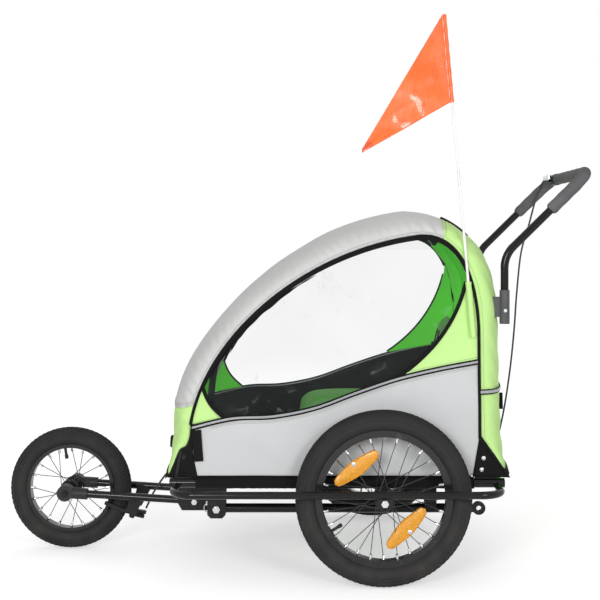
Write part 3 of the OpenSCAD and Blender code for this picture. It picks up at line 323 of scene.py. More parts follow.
def smooth_route(points: Sequence[Vector], steps: int) -> list[Vector]:
    """Smooth line through points, with that many steps between neighbours."""
    flat = [tuple(p) for p in points]
    total = (len(points) - 1) * steps
    return [Vector(through(flat, i / total)) for i in range(total + 1)]


def length_of(path: Sequence[Vector]) -> float:
    """Length of a line of points."""
    return sum((b - a).length for a, b in zip(path, path[1:]))


def face_of(at: At, u: float, v: float, e: float = 0.004) -> Vector:
    """Unit normal of a cloth surface that points away from the cabin, from points e apart."""
    u, v = min(max(u, e), 1 - e), min(max(v, e), 1 - e)
    n = (at(u + e, v) - at(u - e, v)).cross(at(u, v + e) - at(u, v - e)).normalized()
    return n if n.dot(at(u, v) - CABIN_CENTRE) > 0 else -n


def open_sheet(shape: Shape, name: str, *finishes: "Finish", centre: Vector = CABIN_CENTRE) -> bpy.types.Object:
    """Makes an open sheet whose faces look away from a point.

    Args:
        shape: The gathered faces.
        name: Name of the piece.
        *finishes: Outer finish, then the lining's.
        centre: The point.

    Returns:
        The sheet, with no thickness yet.
    """
    obj = shape.piece(name, *(f.material() for f in finishes), solid=False)
    if sum((p.center - centre).dot(p.normal) * p.area for p in obj.data.polygons) < 0:
        obj.data.flip_normals()
    return obj


def ruffle(obj: bpy.types.Object, lift: Callable[[Vector], float]) -> None:
    """Moves each point of a sheet along its normal by lift, in metres."""
    moves = [v.normal * lift(v.co) for v in obj.data.vertices]
    for v, move in zip(obj.data.vertices, moves):
        v.co += move


def bake(obj: bpy.types.Object) -> None:
    """Turns an object's modifiers into plain mesh."""
    bpy.context.view_layer.update()
    seen = obj.evaluated_get(bpy.context.evaluated_depsgraph_get())
    mesh = bpy.data.meshes.new_from_object(seen)
    obj.modifiers.clear()
    obj.data = mesh
    mesh.name = obj.name


def thicken(obj: bpy.types.Object, thick: float, lining: int = 0) -> None:
    """Gives a sheet its thickness inward, with the lining's slot on the inner side."""
    wall = obj.modifiers.new("wall", "SOLIDIFY")
    wall.thickness = thick
    wall.offset = -1
    wall.material_offset = lining
    wall.material_offset_rim = 0
    bake(obj)


def area_of(obj: bpy.types.Object) -> float:
    """Area of an open sheet in square metres."""
    return sum(p.area for p in obj.data.polygons)


def extent(obj: bpy.types.Object, axis: int) -> float:
    """Length of a piece along one axis, in metres."""
    places = [v.co[axis] for v in obj.data.vertices]
    return max(places) - min(places)


def fit(obj: bpy.types.Object, body: str) -> None:
    """Gives a piece the body that it moves with."""
    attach(obj, body)


def fold_down(obj: bpy.types.Object) -> None:
    """Fits a piece of the cabin to the chassis and gives it its own mesh."""
    fit(obj, "chassis")
    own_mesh(obj)


class Graph:
    """Short way to set nodes and links in one tree."""

    def __init__(self, tree: bpy.types.NodeTree) -> None:
        """Keeps the tree."""
        self.tree = tree

    def add(self, kind: str, feeds: dict[Any, Any] | None = None, **settings: Any) -> bpy.types.Node:
        """Adds a node.

        Args:
            kind: Blender's name of the node type.
            feeds: Inputs by name or number, each a value or another node's output.
            **settings: Properties of the node.

        Returns:
            The node.
        """
        node = self.tree.nodes.new(kind)
        for key, value in settings.items():
            setattr(node, key, value)
        for key, value in (feeds or {}).items():
            self.feed(node.inputs[key], value)
        return node

    def feed(self, socket: bpy.types.NodeSocket, value: Any) -> None:
        """Sets an input to a value or links it to an output."""
        if isinstance(value, bpy.types.NodeSocket):
            self.tree.links.new(value, socket)
        else:
            socket.default_value = value

    def sum(self, how: str, a: Any, b: Any = 0.0) -> bpy.types.NodeSocket:
        """Output of a math node."""
        return self.add("ShaderNodeMath", {0: a, 1: b}, operation=how).outputs[0]

    def span(self, value: Any, low: float, high: float, start: float = 0.0, end: float = 1.0) -> Any:
        """Value between start and end, spread from low to high."""
        return self.add("ShaderNodeMapRange", {0: value, 1: start, 2: end, 3: low, 4: high}).outputs[0]

    def tint(self, share: Any, a: Any, b: Any) -> bpy.types.NodeSocket:
        """Colour at a share between two colours."""
        return self.add("ShaderNodeMix", {0: share, 6: a, 7: b}, data_type="RGBA").outputs[2]

    def bump(self, height: Any, distance: float, strength: float, under: Any = None) -> Any:
        """Normal with a height laid on it."""
        feeds = {"Height": height, "Distance": distance, "Strength": strength}
        if under is not None:
            feeds["Normal"] = under
        return self.add("ShaderNodeBump", feeds).outputs[0]

    def noise(self, vector: Any, scale: Any, detail: float = 2.0, twist: float = 0.0) -> Any:
        """Noise from 0 to 1."""
        feeds = {"Vector": vector, "Scale": scale, "Detail": detail, "Distortion": twist}
        return self.add("ShaderNodeTexNoise", feeds).outputs[0]


class Effect(Enum):
    """Surface effects that several finishes share, each a shader node group."""

    WEAVE = "cloth_weave"
    CREASE = "cloth_crease"
    GRAIN = "fine_grain"
    SCUFF = "scuff_marks"
    DUST = "road_dust"


class Effects:
    """Builds each shared effect once."""

    SOCKETS = {
        Effect.WEAVE: (("Threads", 700.0),),
        Effect.CREASE: (("Scale", 9.0),),
        Effect.GRAIN: (("Scale", 900.0),),
        Effect.SCUFF: (("Scale", 60.0), ("Amount", 0.3)),
        Effect.DUST: (("Reach", 0.3), ("Amount", 0.5)),
    }

    @classmethod
    def tree(cls, effect: Effect) -> bpy.types.NodeTree:
        """The effect's node group, with Vector and its own numbers in and Height and Mask out."""
        found = bpy.data.node_groups.get(effect.value)
        if found:
            return found
        tree = bpy.data.node_groups.new(effect.value, "ShaderNodeTree")
        face = tree.interface
        face.new_socket("Vector", in_out="INPUT", socket_type="NodeSocketVector")
        for name, value in cls.SOCKETS[effect]:
            face.new_socket(name, in_out="INPUT", socket_type="NodeSocketFloat").default_value = value
        for name in ("Height", "Mask"):
            face.new_socket(name, in_out="OUTPUT", socket_type="NodeSocketFloat")
        g = Graph(tree)
        source = g.add("NodeGroupInput")
        height, mask = getattr(cls, effect.name.lower())(g, source.outputs)
        g.add("NodeGroupOutput", {"Height": height, "Mask": mask})
        return tree

    @staticmethod
    def weave(g: Graph, given: Any) -> tuple[Any, Any]:
        """Crossing threads; the mask is low in the hollows between crossings, which tints them as painted
        shade, and lighter or darker at random from thread to thread.
        """
        turns = g.add("ShaderNodeVectorMath", {0: given["Vector"], 3: given["Threads"]}, operation="SCALE")
        parts = g.add("ShaderNodeSeparateXYZ", {0: turns.outputs[0]})
        waves = [g.sum("SINE", g.sum("MULTIPLY", parts.outputs[i], math.pi)) for i in (0, 1)]
        height = g.span(g.sum("MULTIPLY", *waves), 0.0, 1.0, -1.0, 1.0)
        uneven = g.noise(given["Vector"], g.sum("MULTIPLY", given["Threads"], 0.25), 3.0)
        return height, g.sum("MULTIPLY", height, g.span(uneven, 0.6, 1.3))

    @staticmethod
    def crease(g: Graph, given: Any) -> tuple[Any, Any]:
        """Soft dents of slack cloth with a few sharper folds."""
        soft = g.noise(given["Vector"], given["Scale"], 2.0, 0.4)
        sharp = g.noise(given["Vector"], g.sum("MULTIPLY", given["Scale"], 3.1), 3.0, 1.2)
        fold = g.sum("ABSOLUTE", g.sum("SUBTRACT", sharp, 0.5))
        height = g.sum("ADD", soft, g.sum("MULTIPLY", fold, 0.5))
        return height, g.span(soft, 0.0, 1.0, 0.32, 0.68)

    @staticmethod
    def grain(g: Graph, given: Any) -> tuple[Any, Any]:
        """Fine grain of moulded plastic, foam and rubber, and slow blotches in its tone."""
        height = g.noise(given["Vector"], given["Scale"], 3.0)
        slow = g.noise(given["Vector"], g.sum("MULTIPLY", given["Scale"], 0.04), 3.0)
        return height, g.span(slow, 0.0, 1.0, 0.3, 0.7)

    @staticmethod
    def scuff(g: Graph, given: Any) -> tuple[Any, Any]:
        """Sparse rubbed spots and streaks."""
        spots = g.noise(given["Vector"], given["Scale"], 6.0, 0.8)
        zones = g.noise(given["Vector"], g.sum("MULTIPLY", given["Scale"], 0.15), 2.0)
        mask = g.sum("MULTIPLY", g.span(spots, 0.0, 1.0, 0.58, 0.7), g.span(zones, 0.0, 1.0, 0.45, 0.65))
        return spots, g.sum("MULTIPLY", mask, given["Amount"])

    @staticmethod
    def dust(g: Graph, given: Any) -> tuple[Any, Any]:
        """Road dust that is thicker near the ground."""
        up = g.add("ShaderNodeSeparateXYZ", {0: given["Vector"]}).outputs[2]
        low = g.add("ShaderNodeMapRange", {0: up, 1: 0.0, 2: given["Reach"], 3: 1.0, 4: 0.0}).outputs[0]
        clouds = g.noise(given["Vector"], 26.0, 5.0)
        mask = g.sum("MULTIPLY", low, g.span(clouds, 0.0, 1.0, 0.35, 0.75))
        return clouds, g.sum("MULTIPLY", mask, given["Amount"])


class Coords(Enum):
    """Where a finish reads its pattern: the piece's own map or its place in the frame."""

    MAP = "UV"
    PLACE = "Object"


@dataclass(frozen=True)
class Finish:
    """One finish of the trailer, made into a material the first time it is used."""

    name: str
    colour: Colour
    roughness: float = 0.5
    coords: Coords = Coords.PLACE

    def material(self) -> bpy.types.Material:
        """The finish's material."""
        label = f"finish_{self.name}"
        found = bpy.data.materials.get(label)
        if found:
            return found
        material = bpy.data.materials.new(label)
        material.use_nodes = True
        g = Graph(material.node_tree)
        shader = material.node_tree.nodes["Principled BSDF"]
        shader.inputs["Base Color"].default_value = self.colour
        shader.inputs["Roughness"].default_value = self.roughness
        where = g.add("ShaderNodeTexCoord").outputs[self.coords.value]
        self.dress(g, shader.inputs, where)
        return material

    def dress(self, g: Graph, shader: Any, where: Any) -> None:
        """Sets the nodes that give the finish its detail; each kind of finish has its own."""
        raise NotImplementedError

    @staticmethod
    def effect(g: Graph, effect: Effect, where: Any, **numbers: float) -> tuple[Any, Any]:
        """Places a shared effect and gives its Height and Mask."""
        node = g.add("ShaderNodeGroup", node_tree=Effects.tree(effect))
        g.feed(node.inputs["Vector"], where)
        for name, value in numbers.items():
            node.inputs[name].default_value = value
        return node.outputs["Height"], node.outputs["Mask"]


@dataclass(frozen=True)
class Cloth(Finish):
    """Woven polyester with threads, slack dents and a little sheen."""

    roughness: float = 0.85
    coords: Coords = Coords.MAP
    threads: float = 650.0
    thread_tone_and_shade: Flat = (0.86, 1.08)
    thread_gloss: float = 0.15
    thread_lift: Flat = (0.0005, 0.35)
    creases: float = 8.0
    dent: float = 0.004
    blotch: float = 0.22
    blotch_shade: float = 0.8
    sheen: float = 0.08
    specular: float = 0.15
    # Strength of a painted glow: the cloth's colour is emitted to stand in for light that comes through it from
    # behind.
    painted_glow: float = 0.0

    def dress(self, g: Graph, shader: Any, where: Any) -> None:
        """Threads tint the colour, darker in the weave's hollows as painted shade and lighter on the crowns as
        painted light, and lift the normal; dents lie under them.
        """
        knit, thread = self.effect(g, Effect.WEAVE, where, Threads=self.threads)
        slack, blotch = self.effect(g, Effect.CREASE, where, Scale=self.creases)
        # Painted shade and light of the weave: darker where the threads dip, lighter on their crowns, with a
        # random tone for each thread.
        woven = g.tint(thread, *(scaled(self.colour, by) for by in self.thread_tone_and_shade))
        worn = g.tint(g.span(blotch, 0.0, self.blotch), woven, scaled(self.colour, self.blotch_shade))
        g.feed(shader["Base Color"], worn)
        # Painted light: the cloth glows in its own colour as if lit through from behind; the strength is above
        # zero only for the inner lime cloth.
        g.feed(shader["Emission Color"], worn)
        shader["Emission Strength"].default_value = self.painted_glow
        g.feed(shader["Roughness"], g.span(thread, self.roughness, self.roughness - self.thread_gloss))
        shader["Sheen Weight"].default_value = self.sheen
        shader["Specular IOR Level"].default_value = self.specular
        soft = g.bump(slack, self.dent, 0.5)
        g.feed(shader["Normal"], g.bump(knit, *self.thread_lift, soft))


@dataclass(frozen=True)
class Paint(Finish):
    """Sprayed paint on steel with a clear coat, faint orange peel, scuffs and road dust."""

    roughness: float = 0.14
    worn_roughness: float = 0.7
    specular: float = 0.2
    coat: float = 0.08
    coat_roughness: float = 0.12
    peel_lift: Flat = (0.0002, 0.12)
    bare: Colour = srgb(84, 84, 86)
    dust: Colour = srgb(112, 104, 94)

    def dress(self, g: Graph, shader: Any, where: Any) -> None:
        """Scuffs lighten the colour and dust dulls it."""
        _, rubbed = self.effect(g, Effect.SCUFF, where, Scale=55.0, Amount=0.3)
        _, dusty = self.effect(g, Effect.DUST, where, Reach=0.3, Amount=0.1)
        peel, _ = self.effect(g, Effect.GRAIN, where, Scale=420.0)
        marked = g.tint(rubbed, self.colour, self.bare)
        g.feed(shader["Base Color"], g.tint(dusty, marked, self.dust))
        g.feed(shader["Roughness"], g.span(g.sum("ADD", rubbed, dusty), self.roughness, self.worn_roughness))
        shader["Specular IOR Level"].default_value = self.specular
        shader["Coat Weight"].default_value = self.coat
        shader["Coat Roughness"].default_value = self.coat_roughness
        g.feed(shader["Normal"], g.bump(peel, *self.peel_lift))


@dataclass(frozen=True)
class Metal(Finish):
    """Plated or polished metal with fine brush lines and dull spots."""

    roughness: float = 0.26
    gloss_spread: Flat = (-0.06, 0.16)
    dull_shade: float = 0.45
    brush_lift: Flat = (0.0002, 0.1)

    def dress(self, g: Graph, shader: Any, where: Any) -> None:
        """Brush lines vary the gloss and dull spots darken it."""
        fine, blotch = self.effect(g, Effect.GRAIN, where, Scale=700.0)
        _, dull = self.effect(g, Effect.SCUFF, where, Scale=90.0, Amount=0.5)
        g.feed(shader["Base Color"], g.tint(dull, self.colour, scaled(self.colour, self.dull_shade)))
        g.feed(shader["Roughness"], g.span(blotch, *(self.roughness + s for s in self.gloss_spread)))
        shader["Metallic"].default_value = 1.0
        g.feed(shader["Normal"], g.bump(fine, *self.brush_lift))


@dataclass(frozen=True)
class Moulded(Finish):
    """Moulded plastic, rubber or foam with its grain, blotches and some road dust."""

    roughness: float = 0.55
    gloss_spread: Flat = (-0.07, 0.1)
    specular: float = 0.3
    grain: float = 800.0
    depth: float = 0.0003
    shades: Flat = (0.82, 1.2)
    rubbed_shade: float = 2.2
    dusty: float = 0.0
    dust_colour: Colour = srgb(120, 112, 100)

    def dress(self, g: Graph, shader: Any, where: Any) -> None:
        """Grain lifts the normal, blotches vary the tone, dust lies low down."""
        fine, blotch = self.effect(g, Effect.GRAIN, where, Scale=self.grain)
        _, rubbed = self.effect(g, Effect.SCUFF, where, Scale=45.0, Amount=0.4)
        _, dust = self.effect(g, Effect.DUST, where, Reach=0.45, Amount=self.dusty)
        tone = g.tint(blotch, *(scaled(self.colour, by) for by in self.shades))
        marked = g.tint(rubbed, tone, scaled(self.colour, self.rubbed_shade))
        g.feed(shader["Base Color"], g.tint(dust, marked, self.dust_colour))
        g.feed(shader["Roughness"], g.span(blotch, *(self.roughness + s for s in self.gloss_spread)))
        shader["Specular IOR Level"].default_value = self.specular
        g.feed(shader["Normal"], g.bump(fine, self.depth, 0.4))


@dataclass(frozen=True)
class Window(Finish):
    """Clear flexible film with faint streaks, which are painted reflections and also rougher like rubbed marks,
    and a few soft dents.
    """

    roughness: float = 0.08
    rubbed_roughness: float = 0.4
    clear: float = 0.07
    haze: float = 1.5
    reflection_streak: float = 0.3
    dent: Flat = (0.004, 0.4)
    reflection_milk: Colour = srgb(236, 240, 240)

    def dress(self, g: Graph, shader: Any, where: Any) -> None:
        """Streaks are painted reflections: milky white, less clear and rougher, in the faintly smoky film."""
        slack, haze = self.effect(g, Effect.CREASE, where, Scale=6.0)
        _, rubbed = self.effect(g, Effect.SCUFF, where, Scale=34.0, Amount=0.5)
        # Painted reflections: the streaks are tinted milky white and made less clear.
        g.feed(shader["Base Color"], g.tint(rubbed, self.colour, self.reflection_milk))
        g.feed(shader["Roughness"], g.span(rubbed, self.roughness, self.rubbed_roughness))
        veil = g.span(haze, self.clear, self.clear * self.haze)
        g.feed(shader["Alpha"], g.sum("ADD", veil, g.sum("MULTIPLY", rubbed, self.reflection_streak)))
        g.feed(shader["Normal"], g.bump(slack, *self.dent))


@dataclass(frozen=True)
class Film(Finish):
    """Glossy coloured film of the flag with crinkles."""

    roughness: float = 0.32
    coords: Coords = Coords.MAP
    gloss_spread: Flat = (-0.1, 0.14)
    shades: Flat = (0.9, 1.12)
    coat: float = 0.35
    crinkle: Flat = (0.003, 0.6)

    def dress(self, g: Graph, shader: Any, where: Any) -> None:
        """Crinkles catch the light, and the colour goes lighter and darker with the crinkle pattern."""
        slack, blotch = self.effect(g, Effect.CREASE, where, Scale=26.0)
        g.feed(shader["Base Color"], g.tint(blotch, *(scaled(self.colour, by) for by in self.shades)))
        g.feed(shader["Roughness"], g.span(blotch, *(self.roughness + s for s in self.gloss_spread)))
        shader["Coat Weight"].default_value = self.coat
        g.feed(shader["Normal"], g.bump(slack, *self.crinkle))


@dataclass(frozen=True)
class Prism(Finish):
    """Reflector plastic or tape with rows of small prisms under a clear face."""

    roughness: float = 0.16
    gloss_spread: float = 0.12
    cells: float = 350.0
    # Painted glint and shade of the prism cells, from the middle of a cell to its edge.
    shades: Flat = (1.25, 0.7)
    coat: float = 0.3
    coat_roughness: float = 0.05
    cell_lift: Flat = (0.0012, 0.6)

    def dress(self, g: Graph, shader: Any, where: Any) -> None:
        """Cells are painted lighter in their middles and darker at their edges, as glints and shade of the
        prisms, and break up the gloss.
        """
        cells = g.add("ShaderNodeTexVoronoi", {"Vector": where, "Scale": self.cells}).outputs["Distance"]
        _, blotch = self.effect(g, Effect.GRAIN, where, Scale=300.0)
        spread = g.span(cells, 0.0, 1.0, 0.0, 0.6)
        # Painted glints and shade: each prism cell is lighter in its middle and darker towards its edge.
        g.feed(shader["Base Color"], g.tint(spread, *(scaled(self.colour, by) for by in self.shades)))
        g.feed(shader["Roughness"], g.span(blotch, self.roughness, self.roughness + self.gloss_spread))
        shader["Coat Weight"].default_value = self.coat
        shader["Coat Roughness"].default_value = self.coat_roughness
        g.feed(shader["Normal"], g.bump(cells, *self.cell_lift))


class Look:
    """The trailer's finishes."""

    LIME = Cloth("lime_cloth", srgb(200, 241, 152))
    # The inner lime cloth has a painted glow that stands in for light coming through the cloth.
    LIME_INSIDE = Cloth("lime_cloth_inside", srgb(92, 204, 60), painted_glow=0.34)
    GREY = Cloth("grey_cloth", srgb(209, 209, 208))
    GREY_LOW = Cloth("grey_cloth_low", srgb(206, 207, 208))
    BLACK = Cloth("black_cloth", srgb(17, 15, 16), dent=0.002, sheen=0.015)
    WEBBING = Cloth("black_webbing", srgb(18, 17, 18), threads=420.0, creases=14.0, dent=0.001, sheen=0.02)
    SEAT = Cloth("seat_cloth", srgb(92, 178, 62), coords=Coords.PLACE, creases=11.0)
    THREAD = Cloth("sewing_thread", srgb(150, 152, 150), coords=Coords.PLACE, threads=1400.0, dent=0.0005)
    TUBE = Paint("gloss_black_tube", srgb(17, 17, 18))
    PLATE = Paint("satin_black_plate", srgb(26, 26, 27), roughness=0.42, coat=0.05)
    RIM = Paint("gloss_black_rim", srgb(24, 24, 25), roughness=0.24, coat=0.3)
    STEEL = Metal("zinc_plate", srgb(196, 197, 200))
    SPOKE = Metal("dark_spoke", srgb(64, 65, 68), roughness=0.34)
    ALLOY = Metal("polished_alloy", srgb(205, 206, 208), roughness=0.2)
    TYRE = Moulded("tyre_rubber", srgb(37, 37, 38), roughness=0.74, grain=620.0, dusty=0.12)
    TREAD = Moulded("tread_rubber", srgb(34, 34, 36), roughness=0.8, grain=620.0, dusty=0.2)
    RUBBER = Moulded("pad_rubber", srgb(40, 40, 41), roughness=0.8)
    CABLE = Moulded("cable_housing", srgb(58, 58, 60), roughness=0.4, grain=1500.0, depth=0.0001)
    FOAM = Moulded("grip_foam", srgb(96, 96, 98), roughness=0.92, grain=520.0, depth=0.0009)
    PLASTIC = Moulded("black_plastic", srgb(38, 38, 40), roughness=0.45)
    GREY_PLASTIC = Moulded("grey_plastic", srgb(78, 78, 80), roughness=0.5)
    POLE = Moulded("white_pole", srgb(240, 240, 236), roughness=0.3, grain=300.0, depth=0.0001)
    WINDOW = Window("window_film", srgb(112, 117, 118))
    FLAG = Film("flag_film", srgb(250, 106, 34))
    FLAG_TIP = Film("flag_tip", srgb(228, 84, 34))
    AMBER = Prism("amber_reflector", srgb(250, 166, 10))
    TAPE = Prism("reflective_tape", srgb(176, 178, 181), roughness=0.3, cells=600.0)


@dataclass
class Studio:
    """Camera, soft lamps, pale floor and white surroundings."""

    eye: tuple[float, float, float] = (0.082, -2.97, 0.80)
    shift: Flat = (-0.0417, -0.1083)
    lens: float = 69.3
    sensor: float = 36.0
    aim: tuple[float, float, float] = (0.05, 0.0, 0.45)
    white: Colour = (1.0, 1.0, 1.0, 1.0)
    floor_grey: Colour = (0.86, 0.86, 0.86, 1.0)
    floor_box: tuple[Flat, Flat] = ((-30.0, 30.0), (-8.0, 60.0))
    floor_z: float = -0.0026
    floor_glow: Flat = (0.47, 0.60)
    glow_reach: Flat = (0.9, 3.0)
    ambient: float = 0.5
    lamps: tuple[tuple[str, tuple[float, float, float], float, float], ...] = (
        ("key_lamp", (-0.9, -3.2, 1.25), 1.0, 42.0),
        ("fill_lamp", (1.6, -3.1, 1.4), 0.9, 28.0),
        ("back_lamp", (0.6, 2.4, 2.6), 2.2, 12.0),
    )

    def camera(self) -> None:
        """Sets the camera at the photograph's viewpoint."""
        data = bpy.data.cameras.new("camera")
        data.lens = self.lens
        data.sensor_width = self.sensor
        data.sensor_fit = "HORIZONTAL"
        data.shift_x, data.shift_y = self.shift
        obj = bpy.data.objects.new("camera", data)
        obj.location = self.eye
        obj.rotation_euler = (math.pi / 2, 0.0, 0.0)
        bpy.context.scene.collection.objects.link(obj)
        bpy.context.scene.camera = obj

    def lights(self) -> None:
        """Sets three soft lamps that look at the middle of the trailer."""
        for name, place, size, power in self.lamps:
            data = bpy.data.lights.new(name, "AREA")
            data.shape = "DISK"
            data.size = size
            data.energy = power
            obj = bpy.data.objects.new(name, data)
            obj.location = place
            way = Vector(self.aim) - Vector(place)
            obj.rotation_euler = way.to_track_quat("-Z", "Y").to_euler()
            bpy.context.scene.collection.objects.link(obj)

    @staticmethod
    def seen(g: Graph) -> Any:
        """1 for rays from the camera, from gloss and through clear film, else 0."""
        rays = g.add("ShaderNodeLightPath").outputs
        seen = g.sum("MAXIMUM", rays["Is Camera Ray"], rays["Is Glossy Ray"])
        return g.sum("MAXIMUM", seen, rays["Is Transmission Ray"])

    def surroundings(self) -> None:
        """White world that lights the object softly."""
        world = bpy.data.worlds.new("studio")
        world.use_nodes = True
        g = Graph(world.node_tree)
        sky = world.node_tree.nodes["Background"]
        g.feed(sky.inputs["Strength"], g.span(self.seen(g), self.ambient, 1.0))
        sky.inputs["Color"].default_value = self.white
        bpy.context.scene.world = world

    def floor(self) -> None:
        """Pale floor that keeps the trailer's shadow."""
        plate = Shape()
        wide, deep = self.floor_box
        plate.grid(lambda u, v: Vector((mix(*wide, u), mix(*deep, v), self.floor_z)), 2, 2)
        material = bpy.data.materials.new("pale_floor")
        material.use_nodes = True
        g = Graph(material.node_tree)
        shader = material.node_tree.nodes["Principled BSDF"].inputs
        shader["Base Color"].default_value = self.floor_grey
        shader["Roughness"].default_value = 0.9
        shader["Specular IOR Level"].default_value = 0.1
        shader["Emission Color"].default_value = self.white
        place = g.add("ShaderNodeTexCoord").outputs["Object"]
        away = g.add("ShaderNodeVectorMath", {0: place}, operation="LENGTH").outputs["Value"]
        glow = g.span(away, *self.floor_glow, *self.glow_reach)
        g.feed(shader["Emission Strength"], g.sum("MULTIPLY", self.seen(g), glow))
        obj = plate.piece("floor", material, solid=False)
        if obj.data.polygons[0].normal.z < 0:
            obj.data.flip_normals()

    def build(self) -> None:
        """Sets up the whole studio."""
        bpy.context.scene.view_settings.view_transform = "Standard"
        self.camera()
        self.lights()
        self.surroundings()
        self.floor()


@dataclass
class BrakeLine:
    """Cable housing from the lever down behind the seat and under the floor to the front brake."""

    diameter: float = 0.005
    under: float = 210.2
    steps: int = 6
    sides: int = 10
    turn: tuple[tuple[float, float, float], ...] = ((360.0, 104.0, 450.0), (300.0, 42.0, 232.0))
    clips: tuple[float, ...] = (200.0, 0.0, -240.0, -440.0)
    clip_half: float = 0.007
    collar: float = 0.0041
    collar_round: float = 0.0008

    def route(self) -> list[Vector]:
        """The housing's middle line, from the lever's barrel to the brake's anchor."""
        z = self.under
        hanging = ((466, 188.4, 950), (466, 197, 949), (463, 207, 941), (457, 212, 927), (448, 212, 905),
                   (424, 204, 820), (402, 190, 750), (386, 165, 640), (374, 136, 540), (356, 100, 430),
                   (332, 66, 320), (306, 44, 240), (290, 36, 212))
        tied = ((272, 33, z), (120, 30, z), (-120, 30, z), (-395, 30, z), (-484, 28, z), (-536, 25, 190),
                (-574, 22, 140), (-592, 20, 104), (-597, 20, 93))
        return smooth_route([rel(*p) for p in hanging + tied], self.steps)

    def build(self) -> None:
        """Makes the housing and the clips that tie it under the floor."""
        route = self.route()
        shape = Shape()
        shape.tube(route, self.diameter / 2, self.sides)
        housing = shape.piece("brake_cable", Look.CABLE.material())
        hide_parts("brake_cable_upper", "brake_cable_lower")
        start, end = (tuple(rel(*p)) for p in self.turn)
        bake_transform(housing)
        tuple(route[0])
        round(length_of(route), 3)
        [tuple(p) for p in route]
        clips = Shape()
        for x in self.clips:
            at = rel(x, 30, self.under)
            path = run_of(lambda t: at + ALONG * mix(-self.clip_half, self.clip_half, t), 3)
            clips.tube(path, lambda t: self.collar - self.collar_round * abs(2 * t - 1) ** 4, 12)
        fit(clips.piece("cable_clips", Look.PLASTIC.material()), "chassis")
        LOG.info("brake_cable: %.3f m", length_of(route))


class Outline:
    """Curves of the cabin in the plane of its side, in millimetres: along and up."""

    FOOT = (-435.0, CLOTH_LOW)
    FRONT = (-447.0, 359.0)
    TOP = (80.0, 798.0)
    BACK = (226.0, 578.0)
    LOW = (226.0, 324.0)
    HEEL = (290.0, CLOTH_LOW)
    OVER = (FRONT, (-415.0, 560.0), (-190.0, 760.0), TOP)
    DOWN = (TOP, (165.0, 812.0), (222.0, 735.0), BACK)
    CROWN_FOOT = (-506.0, CLOTH_LOW)
    CROWN_FRONT = (-508.0, 397.0)
    CROWN_TOP = (59.0, 862.0)
    CROWN_BACK = (290.0, 620.0)
    CROWN_HEEL = (296.0, CLOTH_LOW)
    CROWN_OVER = (CROWN_FRONT, (-465.0, 590.0), (-195.0, 838.0), CROWN_TOP)
    CROWN_DOWN = (CROWN_TOP, (170.0, 858.0), (285.0, 800.0), CROWN_BACK)
    FRONT_SIDE = ((-503.0, 232.0), (-489.0, 264.0), (-474.0, 298.0), (-459.0, 308.0), (-450.0, 330.0),
                  FRONT)
    GUSSET_SIDE = ((-429.0, 237.0), (-435.0, 266.0), (-441.0, 295.0), (-441.0, 322.0), (-443.0, 350.0))
    DROP = ((197.0, 692.0), (150.0, 490.0), (-60.0, 370.0), (-366.0, 371.0))
    SEAM = ((-447.0, 351.0), (-351.0, 373.0), (-255.0, 378.0), (-158.0, 397.0), (-62.0, 432.0),
            (34.0, 464.0), (130.0, 487.0), (226.0, 505.0))
    RIM_SHARES = (0.58, 0.78, 0.93)

    @classmethod
    def rim(cls, t: float) -> Flat:
        """Point of the roof's side edge, from the front corner over the top and down to the heel."""
        top, back, low = cls.RIM_SHARES
        if t < top:
            return bezier(cls.OVER, t / top)
        if t < back:
            return bezier(cls.DOWN, (t - top) / (back - top))
        if t < low:
            return between(cls.BACK, cls.LOW, (t - back) / (low - back))
        return between(cls.LOW, cls.HEEL, (t - low) / (1 - low))


class Pattern:
    """Geometry Nodes tree, built once, that lays copies of a small shape and makes them plain mesh."""

    NAME = "pattern"
    SOCKETS: tuple[tuple[str, str], ...] = ()

    @classmethod
    def tree(cls) -> bpy.types.NodeTree:
        """The tree, with Geometry, its own sizes and Material in and Geometry out."""
        found = bpy.data.node_groups.get(cls.NAME)
        if found:
            return found
        tree = bpy.data.node_groups.new(cls.NAME, "GeometryNodeTree")
        face = tree.interface
        for name, kind in (("Geometry", "Geometry"), *cls.SOCKETS, ("Material", "Material")):
            face.new_socket(name, in_out="INPUT", socket_type=f"NodeSocket{kind}")
        face.new_socket("Geometry", in_out="OUTPUT", socket_type="NodeSocketGeometry")
        g = Graph(tree)
        given = g.add("NodeGroupInput").outputs
        real = g.add("GeometryNodeRealizeInstances", {0: cls.copies(g, given)}).outputs[0]
        dressed = g.add("GeometryNodeSetMaterial", {"Geometry": real, "Material": given["Material"]})
        g.add("NodeGroupOutput", {0: dressed.outputs[0]})
        return tree

    @classmethod
    def copies(cls, g: Graph, given: Any) -> bpy.types.NodeSocket:
        """The copies, which each pattern lays in its own way."""
        raise NotImplementedError

    @classmethod
    def run(cls, obj: bpy.types.Object, finish: Finish, **sizes: Any) -> None:
        """Runs the tree on a piece and keeps the result as its mesh.

        Args:
            obj: The piece, whose mesh goes in as Geometry.
            finish: Finish of the copies.
            **sizes: Values of the tree's own inputs.
        """
        modifier = obj.modifiers.new("pattern", "NODES")
        modifier.node_group = cls.tree()
        values = dict(sizes, Material=finish.material())
        for socket in cls.tree().interface.items_tree:
            if socket.in_out == "INPUT" and socket.name in values:
                modifier[socket.identifier] = values[socket.name]
        bake(obj)


